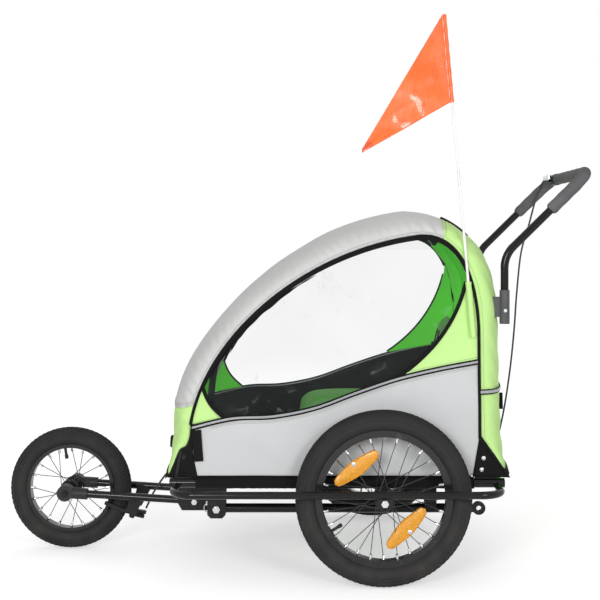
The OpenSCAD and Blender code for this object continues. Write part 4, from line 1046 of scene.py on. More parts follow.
class SeamThread(Pattern):
    """Short stitches along lines."""

    NAME = "seam_stitches"
    SOCKETS = (("Pitch", "Float"), ("Stitch", "Float"), ("Thread", "Float"))
    SIZES = {"Pitch": 0.0042, "Stitch": 0.003, "Thread": 0.00045}
    SIDES = 6
    PROUD = 0.0004

    @classmethod
    def copies(cls, g: Graph, given: Any) -> bpy.types.NodeSocket:
        """A short bar at each step along the lines."""
        line = g.add("GeometryNodeMeshToCurve", {"Mesh": given["Geometry"]}).outputs[0]
        dots = g.add("GeometryNodeCurveToPoints", {"Curve": line, "Length": given["Pitch"]}, mode="LENGTH")
        stitch = g.add("GeometryNodeMeshCylinder", {"Vertices": cls.SIDES, "Radius": given["Thread"],
                                                    "Depth": given["Stitch"]})
        laid = g.add("GeometryNodeInstanceOnPoints", {"Points": dots.outputs[0], "Instance": stitch.outputs[0],
                                                      "Rotation": dots.outputs["Rotation"]})
        return laid.outputs[0]

    @classmethod
    def sew(cls, name: str, rows: Sequence[Sequence[Vector]]) -> None:
        """Makes the stitches of several rows as one piece of the cabin."""
        edges, first = [], 0
        for row in rows:
            edges.extend((first + i, first + i + 1) for i in range(len(row) - 1))
            first += len(row)
        mesh = bpy.data.meshes.new(name)
        mesh.from_pydata([p for row in rows for p in row], edges, [])
        obj = bpy.data.objects.new(name, mesh)
        bpy.context.scene.collection.objects.link(obj)
        cls.run(obj, Look.THREAD, **cls.SIZES)
        fold_down(obj)
        LOG.info("%s: %d faces", name, len(obj.data.polygons))


@dataclass
class Canopy:
    """Roof, front and rear cloth of the cabin with their bindings, stripe and stitches."""

    cloth: float = 0.0022
    across: int = 84
    front_share: float = 0.18
    over_share: float = 0.84
    roof_end: float = 0.28
    roof_round: float = 2.6
    rear_round: float = 3.0
    rear_turn: float = 0.42
    rear_drop: float = 0.85
    foot_half: float = FOOT_HALF
    front_seam_line: tuple[float, float, float] = (0.23, 0.168, 0.77)
    stripe_line: tuple[float, float, float] = (0.665, 0.705, 0.67)
    pucker: float = 0.0036
    pucker_reach: float = 0.042
    sag: float = 0.004
    dent: float = 0.0035
    pull: float = 0.0021
    band_steps: int = 72
    band_proud: float = 0.0012
    thread_inset: float = 0.022
    thread_rows: Flat = (0.008, 0.014)
    tab_sunk: float = 0.0075

    def shell(self, u: float, v: float) -> Vector:
        """Point of the front and roof, from the foot up and back and from left to right."""
        if u < self.front_share:
            t = u / self.front_share
            edge = through(Outline.FRONT_SIDE, t)
            crown = between(Outline.CROWN_FOOT, Outline.CROWN_FRONT, t)
            half = mix(self.foot_half, side_y(Outline.FRONT[1]), t)
            return arch_pt(edge, crown, half, self.roof_round, math.pi * v)
        if u < self.over_share:
            t = (u - self.front_share) / (self.over_share - self.front_share)
            edge, crown = bezier(Outline.OVER, t), bezier(Outline.CROWN_OVER, t)
        else:
            t = (u - self.over_share) / (1 - self.over_share) * self.roof_end
            edge, crown = bezier(Outline.DOWN, t), bezier(Outline.CROWN_DOWN, t)
        return arch_pt(edge, crown, side_y(edge[1]), self.roof_round, math.pi * v)

    @staticmethod
    def bowed(line: tuple[float, float, float], v: float) -> float:
        """Share of a panel on a line with one share at its sides, another at the crown and a bow."""
        return mix(line[0], line[1], math.sin(math.pi * v) ** line[2])

    def roof(self, u: float, v: float) -> Vector:
        """Point of the roof, from the front seam back and from left to right."""
        return self.shell(mix(self.bowed(self.front_seam_line, v), 1.0, u), v)

    def front(self, u: float, v: float) -> Vector:
        """Point of the front panel, from the foot up and from left to right."""
        return self.shell(u * self.bowed(self.front_seam_line, v), v)

    def rear(self, u: float, v: float) -> Vector:
        """Point of the rear panel, from the roof down and from left to right."""
        if u < self.rear_turn:
            t = mix(self.roof_end, 1.0, u / self.rear_turn)
            edge, crown = bezier(Outline.DOWN, t), bezier(Outline.CROWN_DOWN, t)
        else:
            t = u - self.rear_turn
            crown = between(Outline.CROWN_BACK, Outline.CROWN_HEEL, t / (1 - self.rear_turn))
            if u < self.rear_drop:
                edge = between(Outline.BACK, Outline.LOW, t / (self.rear_drop - self.rear_turn))
            else:
                edge = between(Outline.LOW, Outline.HEEL, (u - self.rear_drop) / (1 - self.rear_drop))
        return arch_pt(edge, crown, side_y(edge[1]), self.rear_round, math.pi * v)

    def stripe(self, v: float) -> Flat:
        """Place on the rear panel where the reflective stripe runs."""
        return self.bowed(self.stripe_line, v), v

    def roof_slack(self, p: Vector) -> float:
        """Pucker ripples beside the side seams and slow sag between the tubes."""
        from_seam = side_y(p.z / MM) * MM - abs(p.y)
        near = math.exp(-max(from_seam, 0.0) / self.pucker_reach)
        ripple = math.sin(p.x * 230 + p.z * 140 + 4 * wobble(p, 0.1, 4.0)) * (0.6 + 0.4 * wobble(p, 0.05, 6.0))
        return self.pucker * near * ripple + self.sag * (1 - near) * wobble(p, 0.16, 1.0) - 0.0015

    def panel_slack(self, p: Vector) -> float:
        """Slow dents and slanting pulls of the front and rear cloth."""
        slant = math.sin(85 * (p.z - 0.7 * abs(p.y)) + 5 * wobble(p, 0.13, 3.0))
        pulled = self.pull * slant * (0.5 + 0.5 * wobble(p, 0.08, 2.0))
        return self.dent * wobble(p, 0.11, 7.0) + pulled - 0.001

    def panel(self, name: str, node: str, at: At, steps: int, finishes: Sequence[Finish],
              lift: Callable[[Vector], float], slot: str) -> None:
        """Makes one cloth panel.

        Args:
            name: Name of the piece.
            node: CAD node that it replaces.
            at: The panel's surface.
            steps: Quads along the panel.
            finishes: Outer cloth and lining.
            lift: Slack of the cloth at a point, in metres.
            slot: Material slot of the record; not used.
        """
        shape = Shape()
        shape.grid(at, steps, self.across)
        obj = open_sheet(shape, name, *finishes)
        cut, area = shape.cut(), area_of(obj)
        ruffle(obj, lift)
        thicken(obj, self.cloth, 1)
        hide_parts(node)
        fold_down(obj)
        wide = max(cut[0] * cut[1], area)
        round(min(area, wide), 4)
        LOG.info("%s: %.3f by %.3f m", name, cut[0], cut[1])

    def band(self, name: str, at: At, line: Callable[[float], Flat], size: Flat, finish: Finish) -> None:
        """Sews a flat band on a panel.

        Args:
            name: Name of the piece.
            at: The panel's surface.
            line: The panel's two shares for a share along the band.
            size: Width and thickness in metres.
            finish: Its cloth or tape.
        """
        places = [line(i / self.band_steps) for i in range(self.band_steps + 1)]
        normals = [face_of(at, *p) for p in places]
        shape = Shape()
        shape.ribbon([at(*p) + n * self.band_proud for p, n in zip(places, normals)], normals, *size)
        fold_down(shape.piece(name, finish.material()))
        LOG.info("%s sewn", name)

    def sewn(self, at: At, line: Callable[[float], Flat], slack: Callable[[Vector], float],
             n: int) -> list[Vector]:
        """Points of a row of stitches that lies on the slack cloth."""
        points = []
        for i in range(n + 1):
            share = line(i / n)
            p, out = at(*share), face_of(at, *share)
            points.append(p + out * (slack(p) + SeamThread.PROUD))
        return points

    def stitches(self) -> None:
        """Sews rows of thread beside the seams of the three panels."""
        rows = []
        for side in (0.0, 1.0):
            inset = abs(side - self.thread_inset)
            rows.append(self.sewn(self.roof, lambda t, v=inset: (mix(0.01, 0.99, t), v), self.roof_slack, 220))
            rows.append(self.sewn(self.rear, lambda t, v=inset: (mix(0.02, 0.94, t), v), self.panel_slack, 160))
        for u in self.thread_rows:
            for at, slack in ((self.roof, self.roof_slack), (self.rear, self.panel_slack)):
                rows.append(self.sewn(at, lambda v, u=u: (u, mix(0.03, 0.97, v)), slack, 120))
        SeamThread.sew("canopy_stitches", rows)

    def tabs(self) -> None:
        """Sews a plain tab on the rear panel and a short strap end on the front."""
        shape = Shape()
        for at, u, v, size in ((self.rear, 0.755, 0.33, (0.016, 0.0024, 0.04)),
                               (self.front, 0.4, 0.3, (0.013, 0.02, 0.028))):
            out = face_of(at, u, v)
            side = UP.cross(out)
            shape.block(at(u, v) + out * (size[0] / 2 - self.tab_sunk), (out, side, out.cross(side)), size)
        fold_down(shape.piece("cloth_tabs", Look.WEBBING.material()))

    def build(self) -> None:
        """Makes the three panels, their seams and the reflective stripe."""
        lime = (Look.LIME, Look.LIME_INSIDE)
        self.panel("roof_cloth", "canopy_roof", self.roof, 150, (Look.GREY, Look.GREY), self.roof_slack,
                   "grey_cloth")
        self.panel("front_cloth", "front_panel", self.front, 44, lime, self.panel_slack, "green_cloth")
        self.panel("rear_cloth", "rear_panel", self.rear, 110, lime, self.panel_slack, "green_cloth")
        hem = (0.016, 0.003)
        self.band("rear_stripe_edge", self.rear, self.stripe, (0.0125, 0.0016), Look.BLACK)
        self.band("rear_stripe", self.rear, self.stripe, (0.0075, 0.0028), Look.TAPE)
        self.band("rear_zip", self.rear, lambda t: (mix(0.02, 0.16, t), 0.5), (0.03, 0.006), Look.BLACK)
        self.band("front_hem", self.front, lambda v: (0.02, v), hem, Look.BLACK)
        self.band("rear_hem", self.rear, lambda v: (0.985, v), hem, Look.BLACK)
        self.stitches()
        self.tabs()


@dataclass
class SideWall:
    """One side of the cabin: lower panel, green corners, clear window, seams and gussets."""

    side: int
    name: str
    cloth: float = 0.0022
    window_front: float = 0.15
    window_end: float = 0.62
    front_sag: float = 8.0
    sag_drop: float = 0.4
    over_share: float = 0.8
    heel_share: float = 0.31
    heel_behind: float = 20.0
    corner_share: float = 0.3
    corner_foot: float = 0.45
    sill: Flat = (-368.0, 374.0)
    film_out: float = -2.9
    dents: Flat = (0.003, 0.0012)
    film_dent: float = 0.002
    cord_r: float = 0.0036
    cord_out: float = 1.6
    seam_cord_r: float = 0.0021
    seam_cords: Flat = (-4.4, 4.4)
    tape: Flat = (0.0066, 0.0022)
    hem: Flat = (0.009, 0.0024)
    hem_out: float = 0.6
    roll_run: Flat = (0.05, 0.5)
    roll_r: Flat = (0.0034, 0.0015)
    thread_drops: Flat = (-9.5, -13.0)
    gusset: float = 0.002
    gusset_peak: Flat = (226.0, 338.0)
    gusset_foot: tuple[Flat, Flat] = ((208.0, 240.0), (296.0, 238.0))
    strap: Flat = (0.022, 0.003)

    @property
    def proud(self) -> Vector:
        """Unit normal of the wall."""
        return (self.at((0, 300), 1) - self.at((0, 300))).normalized()

    def at(self, p: Flat, out: float = 0.0) -> Vector:
        """Point of this wall."""
        return side_pt(self.side, p, out)

    def lower(self, u: float, v: float) -> Vector:
        """Point of the lower panel, from front to back and from the floor to the seam."""
        foot, heel = Outline.FOOT, (Outline.LOW[0] + self.heel_behind, CLOTH_LOW)
        first, last = Outline.SEAM[0], Outline.SEAM[-1]
        low, high = between(foot, heel, u), through(Outline.SEAM, u)
        if v < self.heel_share:
            right = between(heel, Outline.LOW, v / self.heel_share)
        else:
            right = between(Outline.LOW, last, (v - self.heel_share) / (1 - self.heel_share))
        ends = between(between(foot, first, v), right, u)
        walls = between(low, high, v)
        corners = between(low, between(first, last, u), v)
        return self.at((ends[0] + walls[0] - corners[0], ends[1] + walls[1] - corners[1]))

    def sagged(self, p: Flat, sag: float) -> Flat:
        """Flat point of the window's front edge, moved by its sag."""
        return p[0] - sag, p[1] - self.sag_drop * sag

    def front_corner(self, u: float, v: float) -> Vector:
        """Point of the green triangle ahead of the window."""
        ahead = bezier(Outline.OVER, self.window_front * v)
        behind = between(self.sill, bezier(Outline.OVER, self.window_front), v)
        return self.at(between(ahead, self.sagged(behind, self.front_sag * math.sin(math.pi * v)), u))

    def rear_corner(self, u: float, v: float) -> Vector:
        """Point of the green corner behind the window."""
        ahead = bezier(Outline.DROP, mix(self.corner_foot, 0.0, v))
        if v < self.corner_share:
            behind = between(Outline.SEAM[-1], Outline.BACK, v / self.corner_share)
        else:
            t = (v - self.corner_share) / (1 - self.corner_share)
            behind = bezier(Outline.DOWN, mix(1.0, self.window_end, t))
        return self.at(between(ahead, behind, u))

    def over(self, u: float) -> Flat:
        """Point of the window's upper edge, from front to back."""
        if u < self.over_share:
            return bezier(Outline.OVER, mix(self.window_front, 1.0, u / self.over_share))
        return bezier(Outline.DOWN, mix(0.0, self.window_end, (u - self.over_share) / (1 - self.over_share)))

    def pane(self, u: float, v: float) -> Vector:
        """Point of the window film, from front to back and from its lower edge up."""
        p = between(bezier(Outline.DROP, 1 - u), self.over(u), v)
        sag = self.front_sag * math.sin(math.pi * v) * max(1 - 6 * u, 0.0)
        return self.at(self.sagged(p, sag), self.film_out)

    def slack(self, p: Vector) -> float:
        """Dents of the side cloth."""
        return self.dents[0] * wobble(p, 0.1, 3.0 + self.side) + self.dents[1] * wobble(p, 0.035, 5.0)

    def panel(self, part: str, at: At, counts: tuple[int, int], finishes: Sequence[Finish], slot: str,
              node: str | None = None) -> None:
        """Makes one cloth panel of the wall.

        Args:
            part: Its name on this wall.
            at: Its surface.
            counts: Quads along and up.
            finishes: Outer cloth and lining.
            slot: Material slot of the record; not used.
            node: CAD node that it replaces, if any.
        """
        shape = Shape()
        shape.grid(at, *counts)
        obj = open_sheet(shape, f"{self.name}_{part}", *finishes)
        area, length, height = area_of(obj), extent(obj, 0), extent(obj, 2)
        ruffle(obj, self.slack)
        thicken(obj, self.cloth, 1)
        if node:
            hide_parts(node)
        fold_down(obj)
        round(max(area, 0.3 * length * height), 4)
        LOG.info("%s_%s: %.3f by %.3f m", self.name, part, length, height)

    def window(self) -> None:
        """Makes the clear film."""
        shape = Shape()
        shape.grid(self.pane, 64, 20)
        obj = open_sheet(shape, f"{self.name}_window", Look.WINDOW)
        area, length, height = area_of(obj), extent(obj, 0), extent(obj, 2)
        ruffle(obj, lambda p: self.film_dent * wobble(p, 0.14, 9.0) - 0.001)
        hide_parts(f"window_{self.name}")
        fold_down(obj)
        LOG.info("%s_window: %.3f by %.3f m", self.name, length, height)

    def line(self, points: Sequence[Flat], out: float, shift: Flat = (0.0, 0.0)) -> list[Vector]:
        """Flat points set on the wall, moved along and up it by shift."""
        return [self.at((x + shift[0], z + shift[1]), out) for x, z in points]

    def roll_radius(self, t: float) -> float:
        """Radius of the rolled sun cover along its length, thin at both ends."""
        uneven = self.roll_r[0] + self.roll_r[1] * math.sin(t * 31) * math.sin(t * 11 + 1)
        return uneven * math.sin(math.pi * mix(0.004, 0.996, t)) ** 0.6

    def trims(self) -> None:
        """Sews the piping, the window's hem, the rolled sun cover and the seam tape."""
        proud = self.proud
        seam = [through(Outline.SEAM, i / 80) for i in range(81)]
        piping = Shape()
        piping.tube(self.line([Outline.rim(i / 150) for i in range(151)], self.cord_out), self.cord_r, 8)
        for drop in self.seam_cords:
            piping.tube(self.line(seam, self.cord_out, (0.0, drop)), self.seam_cord_r, 8)
        over = self.line([self.over(i / 90) for i in range(91)], self.hem_out, (0.0, -5.0))
        roll = self.line([self.over(mix(*self.roll_run, i / 70)) for i in range(71)], -3.0, (4.0, -10.0))
        behind = run_of(lambda t: self.rear_corner(0.0, t) + proud * self.hem_out * MM, 40)
        ahead = run_of(lambda t: self.front_corner(1.0, t) + proud * self.hem_out * MM, 16)
        piping.ribbon(over, [proud] * len(over), *self.hem)
        piping.tube(roll, self.roll_radius, 10)
        for edge in (behind, ahead):
            piping.ribbon(edge, [proud] * len(edge), *self.hem)
        fold_down(piping.piece(f"{self.name}_piping", Look.BLACK.material()))
        tape = Shape()
        tape.ribbon(self.line(seam, 0.8), [proud] * len(seam), *self.tape)
        fold_down(tape.piece(f"{self.name}_seam_tape", Look.TAPE.material()))

    def stitches(self) -> None:
        """Sews rows of thread below the seam and along the green corners."""
        seam = [through(Outline.SEAM, mix(0.08, 0.985, i / 160)) for i in range(161)]
        rows = [self.line(seam, 0.0, (0.0, drop)) for drop in self.thread_drops]
        rows.append(run_of(lambda t: self.rear_corner(0.07, t), 90, 0.04, 0.9))
        rows.append(run_of(lambda t: self.rear_corner(mix(0.08, 0.97, t), 0.045), 60))
        rows.append(run_of(lambda t: self.front_corner(0.86, t), 30, 0.06, 0.8))
        proud = self.proud
        SeamThread.sew(f"{self.name}_stitches",
                       [[p + proud * (self.slack(p) + SeamThread.PROUD) for p in row] for row in rows])

    def front_gusset(self, u: float, v: float) -> Vector:
        """Point of the gusset between the side wall's front edge and the front panel."""
        side = self.at(through(Outline.GUSSET_SIDE, v), self.cord_out)
        x, z = through(Outline.FRONT_SIDE, v)
        half = mix(FOOT_HALF, side_y(Outline.FRONT[1]), v) + 1.5
        bulge = Vector((0, self.side * 0.004 * math.sin(math.pi * u), 0))
        return side.lerp(rel(x, self.side * half, z), u) + bulge

    def rear_gusset(self, u: float, v: float) -> Vector:
        """Point of the three-cornered patch over the rear hinge."""
        return self.at(between(self.gusset_peak, between(*self.gusset_foot, u), v), 2.4)

    def gussets(self) -> None:
        """Sews the black corners at the floor and the strap on the front edge."""
        shape = Shape()
        shape.grid(self.rear_gusset, 16, 16)
        shape.grid(self.front_gusset, 12, 24)
        obj = open_sheet(shape, f"{self.name}_gussets", Look.BLACK)
        thicken(obj, self.gusset)
        fold_down(obj)
        run = run_of(lambda t: self.at((-427.0 - 6 * t, mix(275.0, 347.0, t)),
                                       2.2 + 1.2 * math.sin(math.pi * t)), 14)
        strap = Shape()
        strap.ribbon(run, [self.proud] * len(run), *self.strap)
        fold_down(strap.piece(f"{self.name}_strap", Look.WEBBING.material()))

    def build(self) -> None:
        """Makes the whole wall."""
        lime = (Look.LIME, Look.LIME_INSIDE)
        self.panel("lower", self.lower, (110, 30), (Look.GREY_LOW, Look.BLACK), "grey_cloth",
                   f"side_panel_{self.name}")
        self.panel("front_corner", self.front_corner, (16, 16), lime, "green_cloth")
        self.panel("rear_corner", self.rear_corner, (30, 36), lime, "green_cloth")
        self.window()
        self.trims()
        self.stitches()
        self.gussets()


@dataclass
class Seat:
    """Padded bench and back for two, blown up as sewn cushions, with shoulder straps and a buckle."""

    low: float = 238.35
    back_low: float = 240.98
    front: float = -206.0
    depth: float = 325.0
    width: float = 440.0
    height: float = 148.0
    bench_edge: float = 0.8
    back_x: float = 212.0
    back_lean: float = math.radians(8)
    back_height: float = 350.0
    back_thick: float = 42.0
    back_edge: float = 0.45
    channel_deep: float = 9.0
    channel_wide: float = 0.05
    quads: tuple[int, int, int] = (24, 36, 6)
    voxel: float = 0.007
    pressure: float = 4.0
    frames: int = 20
    cap: float = 0.007
    shrink: float = 4.0
    places: Flat = (0.27, 0.73)
    strap_run: Flat = (0.46, 0.9)
    pad_run: Flat = (0.6, 0.8)
    strap_lift: float = 2.4

    @staticmethod
    def swell(u: float, v: float) -> float:
        """Share of full thickness at a place of a cushion."""
        return math.sqrt(max(1 - abs(2 * u - 1) ** 4, 0.0)) * math.sqrt(max(1 - abs(2 * v - 1) ** 6, 0.0))

    def plump(self, u: float, v: float, thick: float, edge: float) -> float:
        """Thickness of a cushion at a place, with the sewn channel between the two places."""
        full = self.swell(u, v)
        groove = self.channel_deep * math.exp(-(((v - 0.5) / self.channel_wide) ** 2))
        return thick * mix(edge, 1, full) - groove * full

    def tuck(self, share: float, size: float) -> float:
        """A share moved in from both ends by the room that filling takes."""
        return mix(self.shrink / size, 1 - self.shrink / size, share)

    def base_pt(self, u: float, v: float, h: float) -> Vector:
        """Point of the bench before it is filled, h above its underside."""
        u, v = self.tuck(u, self.depth), self.tuck(v, self.width)
        return rel(self.front + self.depth * u, mix(-self.width / 2, self.width / 2, v), self.low + h)

    def back_pt(self, u: float, v: float, d: float) -> Vector:
        """Point of the back at a share up and across, d in front of its rear face."""
        along, ahead = math.sin(self.back_lean), math.cos(self.back_lean)
        return rel(self.back_x + (u - 1) * self.back_height * along - d * ahead,
                   mix(-self.width / 2, self.width / 2, v),
                   self.back_low + u * self.back_height * ahead - d * along)

    def rest_pt(self, u: float, v: float, d: float) -> Vector:
        """Point of the back before it is filled."""
        return self.back_pt(self.tuck(u, self.back_height), self.tuck(v, self.width), d)

    def bench_face(self, u: float, v: float) -> Vector:
        """Upper face of the bench."""
        return self.base_pt(u, v, self.plump(u, v, self.height, self.bench_edge) - 1.5 * self.shrink)

    def rest_face(self, u: float, v: float) -> Vector:
        """Front face of the back."""
        return self.rest_pt(u, v, self.plump(u, v, self.back_thick, self.back_edge) - self.shrink)

    def cushion(self, name: str, node: str, face: At, rear: At) -> None:
        """Makes one cushion from its two faces and blows it up as cloth."""
        n, m, wall = self.quads
        shape = Shape()
        shape.grid(face, n, m)
        shape.grid(rear, n, m)
        for end in (0.0, 1.0):
            shape.grid(lambda t, v, u=end: rear(u, v).lerp(face(u, v), t), wall, m)
        for end in (0.0, 1.0):
            shape.grid(lambda t, u, v=end: rear(u, v).lerp(face(u, v), t), wall, n)
        obj = shape.piece(name, Look.SEAT.material())
        self.inflate(obj)
        for polygon in obj.data.polygons:
            polygon.use_smooth = True
        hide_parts(node)
        fold_down(obj)
        LOG.info("%s: %d faces", name, len(obj.data.polygons))

    def inflate(self, obj: bpy.types.Object) -> None:
        """Fills a cushion with pressure, holds back far moves and smooths it."""
        net = obj.modifiers.new("net", "REMESH")
        net.mode = "VOXEL"
        net.voxel_size = self.voxel
        bake(obj)
        start = [v.co.copy() for v in obj.data.vertices]
        cloth = obj.modifiers.new("fill", "CLOTH")
        cloth.settings.use_pressure = True
        cloth.settings.uniform_pressure_force = self.pressure
        cloth.settings.effector_weights.gravity = 0.0
        cloth.point_cache.frame_end = self.frames
        scene = bpy.context.scene
        for step in range(1, self.frames + 1):
            scene.frame_set(step)
        bake(obj)
        scene.frame_set(1)
        for v, old in zip(obj.data.vertices, start):
            move = v.co - old
            if move.length > self.cap:
                v.co = old + move.normalized() * self.cap
        fine = obj.modifiers.new("fine", "SUBSURF")
        fine.levels = fine.render_levels = 1
        bake(obj)

    def straps(self) -> None:
        """Makes two shoulder straps with pads and a buckle for each place."""
        low, high = self.strap_run
        ahead = (self.back_pt(0.5, 0.5, 10) - self.back_pt(0.5, 0.5, 0)).normalized()
        shape = Shape()

        def padding(u: float, v: float) -> float:
            """Thickness of the back at a place."""
            return self.plump(u, v, self.back_thick, self.back_edge)

        for place in self.places:
            for m in (-1, 1):

                def lying(u: float, lift: float, place: float = place, m: int = m) -> Vector:
                    """Point of a strap on the back, which leans to the neck as it goes up."""
                    v = place + m * mix(0.09, 0.05, (u - low) / (high - low))
                    return self.back_pt(u, v, padding(u, place + m * 0.07) + lift)

                run = [lying(mix(low, high, i / 24), self.strap_lift) for i in range(25)]
                shape.ribbon(run, [ahead] * len(run), 0.025, 0.002)
                pad = [lying(mix(*self.pad_run, i / 12), self.strap_lift + 2) for i in range(13)]
                shape.ribbon(pad, [ahead] * len(pad), 0.036, 0.006)
            knot = self.back_pt(0.45, place, padding(0.45, place) + 7)
            shape.block(knot, (ACROSS, ahead.cross(ACROSS), ahead), (0.062, 0.046, 0.013), 1)
        obj = shape.piece("shoulder_straps", Look.WEBBING.material(), Look.PLASTIC.material())
        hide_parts("harness")
        fold_down(obj)

    def build(self) -> None:
        """Makes the bench, the back, the straps and the buckles."""
        self.cushion("seat_bench", "seat_base", self.bench_face, lambda u, v: self.base_pt(u, v, self.shrink))
        self.cushion("seat_rest", "seat_back", self.rest_face, lambda u, v: self.rest_pt(u, v, self.shrink))
        self.straps()


@dataclass
class HoopSleeves:
    """Green cloth sleeves on the rear hoop's legs, open behind for the handle's brackets."""

    hinge: Flat = (262.0, 283.0)
    foot: Flat = (238.0, 340.0)
    knee: Flat = (236.0, 690.0)
    top: Flat = (140.0, 815.0)
    top_share: float = 0.62
    bend: float = 110.0
    radius: float = 11.4
    wrap: float = math.radians(140)
    cloth: float = 0.0012

    def leg(self, z: float) -> float:
        """Half width of the hoop at a height."""
        return self.hinge[0] - (z - self.hinge[1]) * math.tan(LEAN)

    def route(self, side: int) -> list[Vector]:
        """Middle line of one leg from above its hinge to below the top bend."""
        foot, knee, top = (rel(x, side * self.leg(z), z) for x, z in (self.foot, self.knee, self.top))
        down, up = (foot - knee).normalized(), (top - knee).normalized()
        reach = self.bend * MM * math.tan((math.pi - down.angle(up)) / 2)
        a, b = knee + down * reach, knee + up * reach
        turn = [a * (1 - t) ** 2 + knee * 2 * t * (1 - t) + b * t**2 for t in (i / 14 for i in range(15))]
        rise = [foot.lerp(a, i / 30) for i in range(30)]
        return rise + turn + [b.lerp(top, i / 12 * self.top_share) for i in range(1, 13)]

    def around(self, path: Sequence[Vector], side: int, i: int, v: float) -> Vector:
        """Point of a sleeve at a step of its leg and a share of its way round the tube."""
        way = tangent(path, i)
        ahead = way.cross(ACROSS).normalized()
        ahead = ahead if ahead.x < 0 else -ahead
        inner = -side * ACROSS
        inner = (inner - way * inner.dot(way)).normalized()
        a = side * mix(-self.wrap, self.wrap, v)
        r = self.radius * MM * (1 + 0.03 * wobble(path[i], 0.03, 2.0 + v))
        return path[i] + r * (math.cos(a) * ahead + math.sin(a) * inner)

    def build(self) -> None:
        """Makes both sleeves."""
        shape = Shape()
        for side in (-1, 1):
            path = self.route(side)
            n = len(path) - 1
            shape.grid(lambda u, v: self.around(path, side, round(u * n), v), n, 20)
        # The sleeves use the inner lime cloth with its painted glow.
        obj = shape.piece("hoop_sleeves", Look.LIME_INSIDE.material(), solid=False)
        thicken(obj, self.cloth)
        fit(obj, "rear_hoop")


@dataclass
class FloorCloth:
    """Black floor cloth with a sleeve round each side tube."""

    front: float = -484.0
    rear: float = 272.0
    half: float = 242.0
    above: float = 2.9
    cloth: float = 0.0022
    tube_y: float = 284.0
    tube_z: float = 224.0
    sleeve: Flat = (-434.0, 212.0)
    sleeve_r: float = 13.2
    step_in: float = 6.0
    hem: float = 0.0008
    hem_share: float = 0.012
    gather: float = 0.0003

    def spread(self, u: float, v: float) -> Vector:
        """Point of the floor cloth."""
        x = mix(self.front, self.rear, u)
        inside = 1.0
        for past in (x - self.sleeve[0], self.sleeve[1] - x):
            inside *= min(max(past / self.step_in, 0.0), 1.0)
        p = rel(x, mix(-1, 1, v) * mix(self.half, self.tube_y - 2, inside), FLOOR_TOP + self.above)
        return p + UP * (0.0006 * wobble(p, 0.07, 6.0))

    def sleeve_radius(self, t: float) -> float:
        """Sleeve radius with gathers and a hem at both ends."""
        hem = self.hem * sum(math.exp(-(end / self.hem_share) ** 2) for end in (t, 1 - t))
        return self.sleeve_r * MM + self.gather * math.sin(t * 210 + 4 * math.sin(t * 23)) + hem

    def build(self) -> None:
        """Makes the cloth and its sleeves."""
        shape = Shape()
        shape.grid(self.spread, 126, 48)
        cloth = open_sheet(shape, "floor_cloth", Look.BLACK, centre=Vector((0.1, 0, -1)))
        thicken(cloth, self.cloth)
        sleeves = Shape()
        for side in (-1, 1):
            path = run_of(lambda t: rel(mix(*self.sleeve, t), side * self.tube_y, self.tube_z), 160)
            sleeves.tube(path, self.sleeve_radius, 20)
        tubes = sleeves.piece("floor_sleeves", Look.BLACK.material())
        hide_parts("floor_panel")
        for obj in (cloth, tubes):
            fit(obj, "chassis")


@dataclass
class Flag:
    """Orange pennant with a sleeve on its white pole, and the pocket that holds the pole."""

    foot_x: float = 212.0
    top_x: float = 151.0
    low: float = 560.0
    high: float = 690.0
    top: float = 1322.0
    hoist: float = 211.0
    above: float = 5.0
    tip: tuple[float, float, float] = (-54.0, -214.0, 991.0)
    tip_share: float = 0.04
    tip_patch: float = 0.042
    wave: float = 9.0
    crinkle: float = 2.2
    film_thick: float = 0.0006
    clear: float = 0.0052
    sleeve_r: float = 0.0046
    seam: Flat = (0.004, 0.0012)
    pocket_r: float = 7.5

    def pole(self, z: float) -> Vector:
        """Point of the pole at a height in millimetres."""
        t = (z - self.low) / (self.top - self.low)
        return rel(mix(self.foot_x, self.top_x, t), -side_y(z) - self.pocket_r - 0.5, z)

    def film(self, u: float, v: float) -> Vector:
        """Point of the pennant from the pole to its tip and from the top down."""
        hoist = self.pole(self.top + self.above - 2 - self.hoist * v) - Vector((self.clear, 0, 0))
        p = hoist.lerp(rel(*self.tip), u * (1 - self.tip_share))
        swing = self.wave * math.sin(2 * math.pi * (1.4 * u + 0.5 * v)) * math.sin(math.pi * u)
        crinkle = self.crinkle * wobble(p, 0.03, 8.0) * min(u * 5, 1)
        return p + ACROSS * ((swing + crinkle) * MM)

    def pocket_radius(self, t: float) -> float:
        """Radius of the pocket, drawn in at its foot."""
        return (self.pocket_r - 0.4 + 0.4 * math.sin(t * 19) - 2.2 * math.exp(-t / 0.05)) * MM

    def pennant(self) -> bpy.types.Object:
        """Makes the open film, with a darker tip."""
        shape = Shape()
        shape.grid(self.film, 72, 36)
        corner = rel(*self.tip)
        obj = shape.piece("flag_pennant", Look.FLAG.material(), Look.FLAG_TIP.material(), solid=False)
        for polygon in obj.data.polygons:
            polygon.material_index = int((polygon.center - corner).length < self.tip_patch)
        return obj

    def build(self) -> None:
        """Makes the pennant, its sleeve and the pocket."""
        film = self.pennant()
        thicken(film, self.film_thick)
        sleeve = Shape()
        path = run_of(lambda t: self.pole(self.top + self.above - mix(self.hoist + 2, 1, t)), 30)
        sleeve.tube(path, lambda t: self.sleeve_r + 0.0004 * math.sin(t * 40), 12)
        seam = run_of(lambda t: self.film(0.028, t) - ACROSS * 0.0004, 30)
        sleeve.ribbon(seam, [-ACROSS] * len(seam), *self.seam)
        hem = sleeve.piece("flag_sleeve", Look.FLAG.material())
        pocket = Shape()
        pocket.tube(run_of(lambda t: self.pole(mix(self.low, self.high, t)), 24), self.pocket_radius, 14)
        holder = pocket.piece("flag_pocket_cloth", Look.LIME.material())
        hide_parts("flag")
        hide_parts("flag_pocket")
        for piece, slot in ((film, "flag_film"), (hem, "flag_film"), (holder, "green_cloth")):
            fit(piece, "rear_hoop")


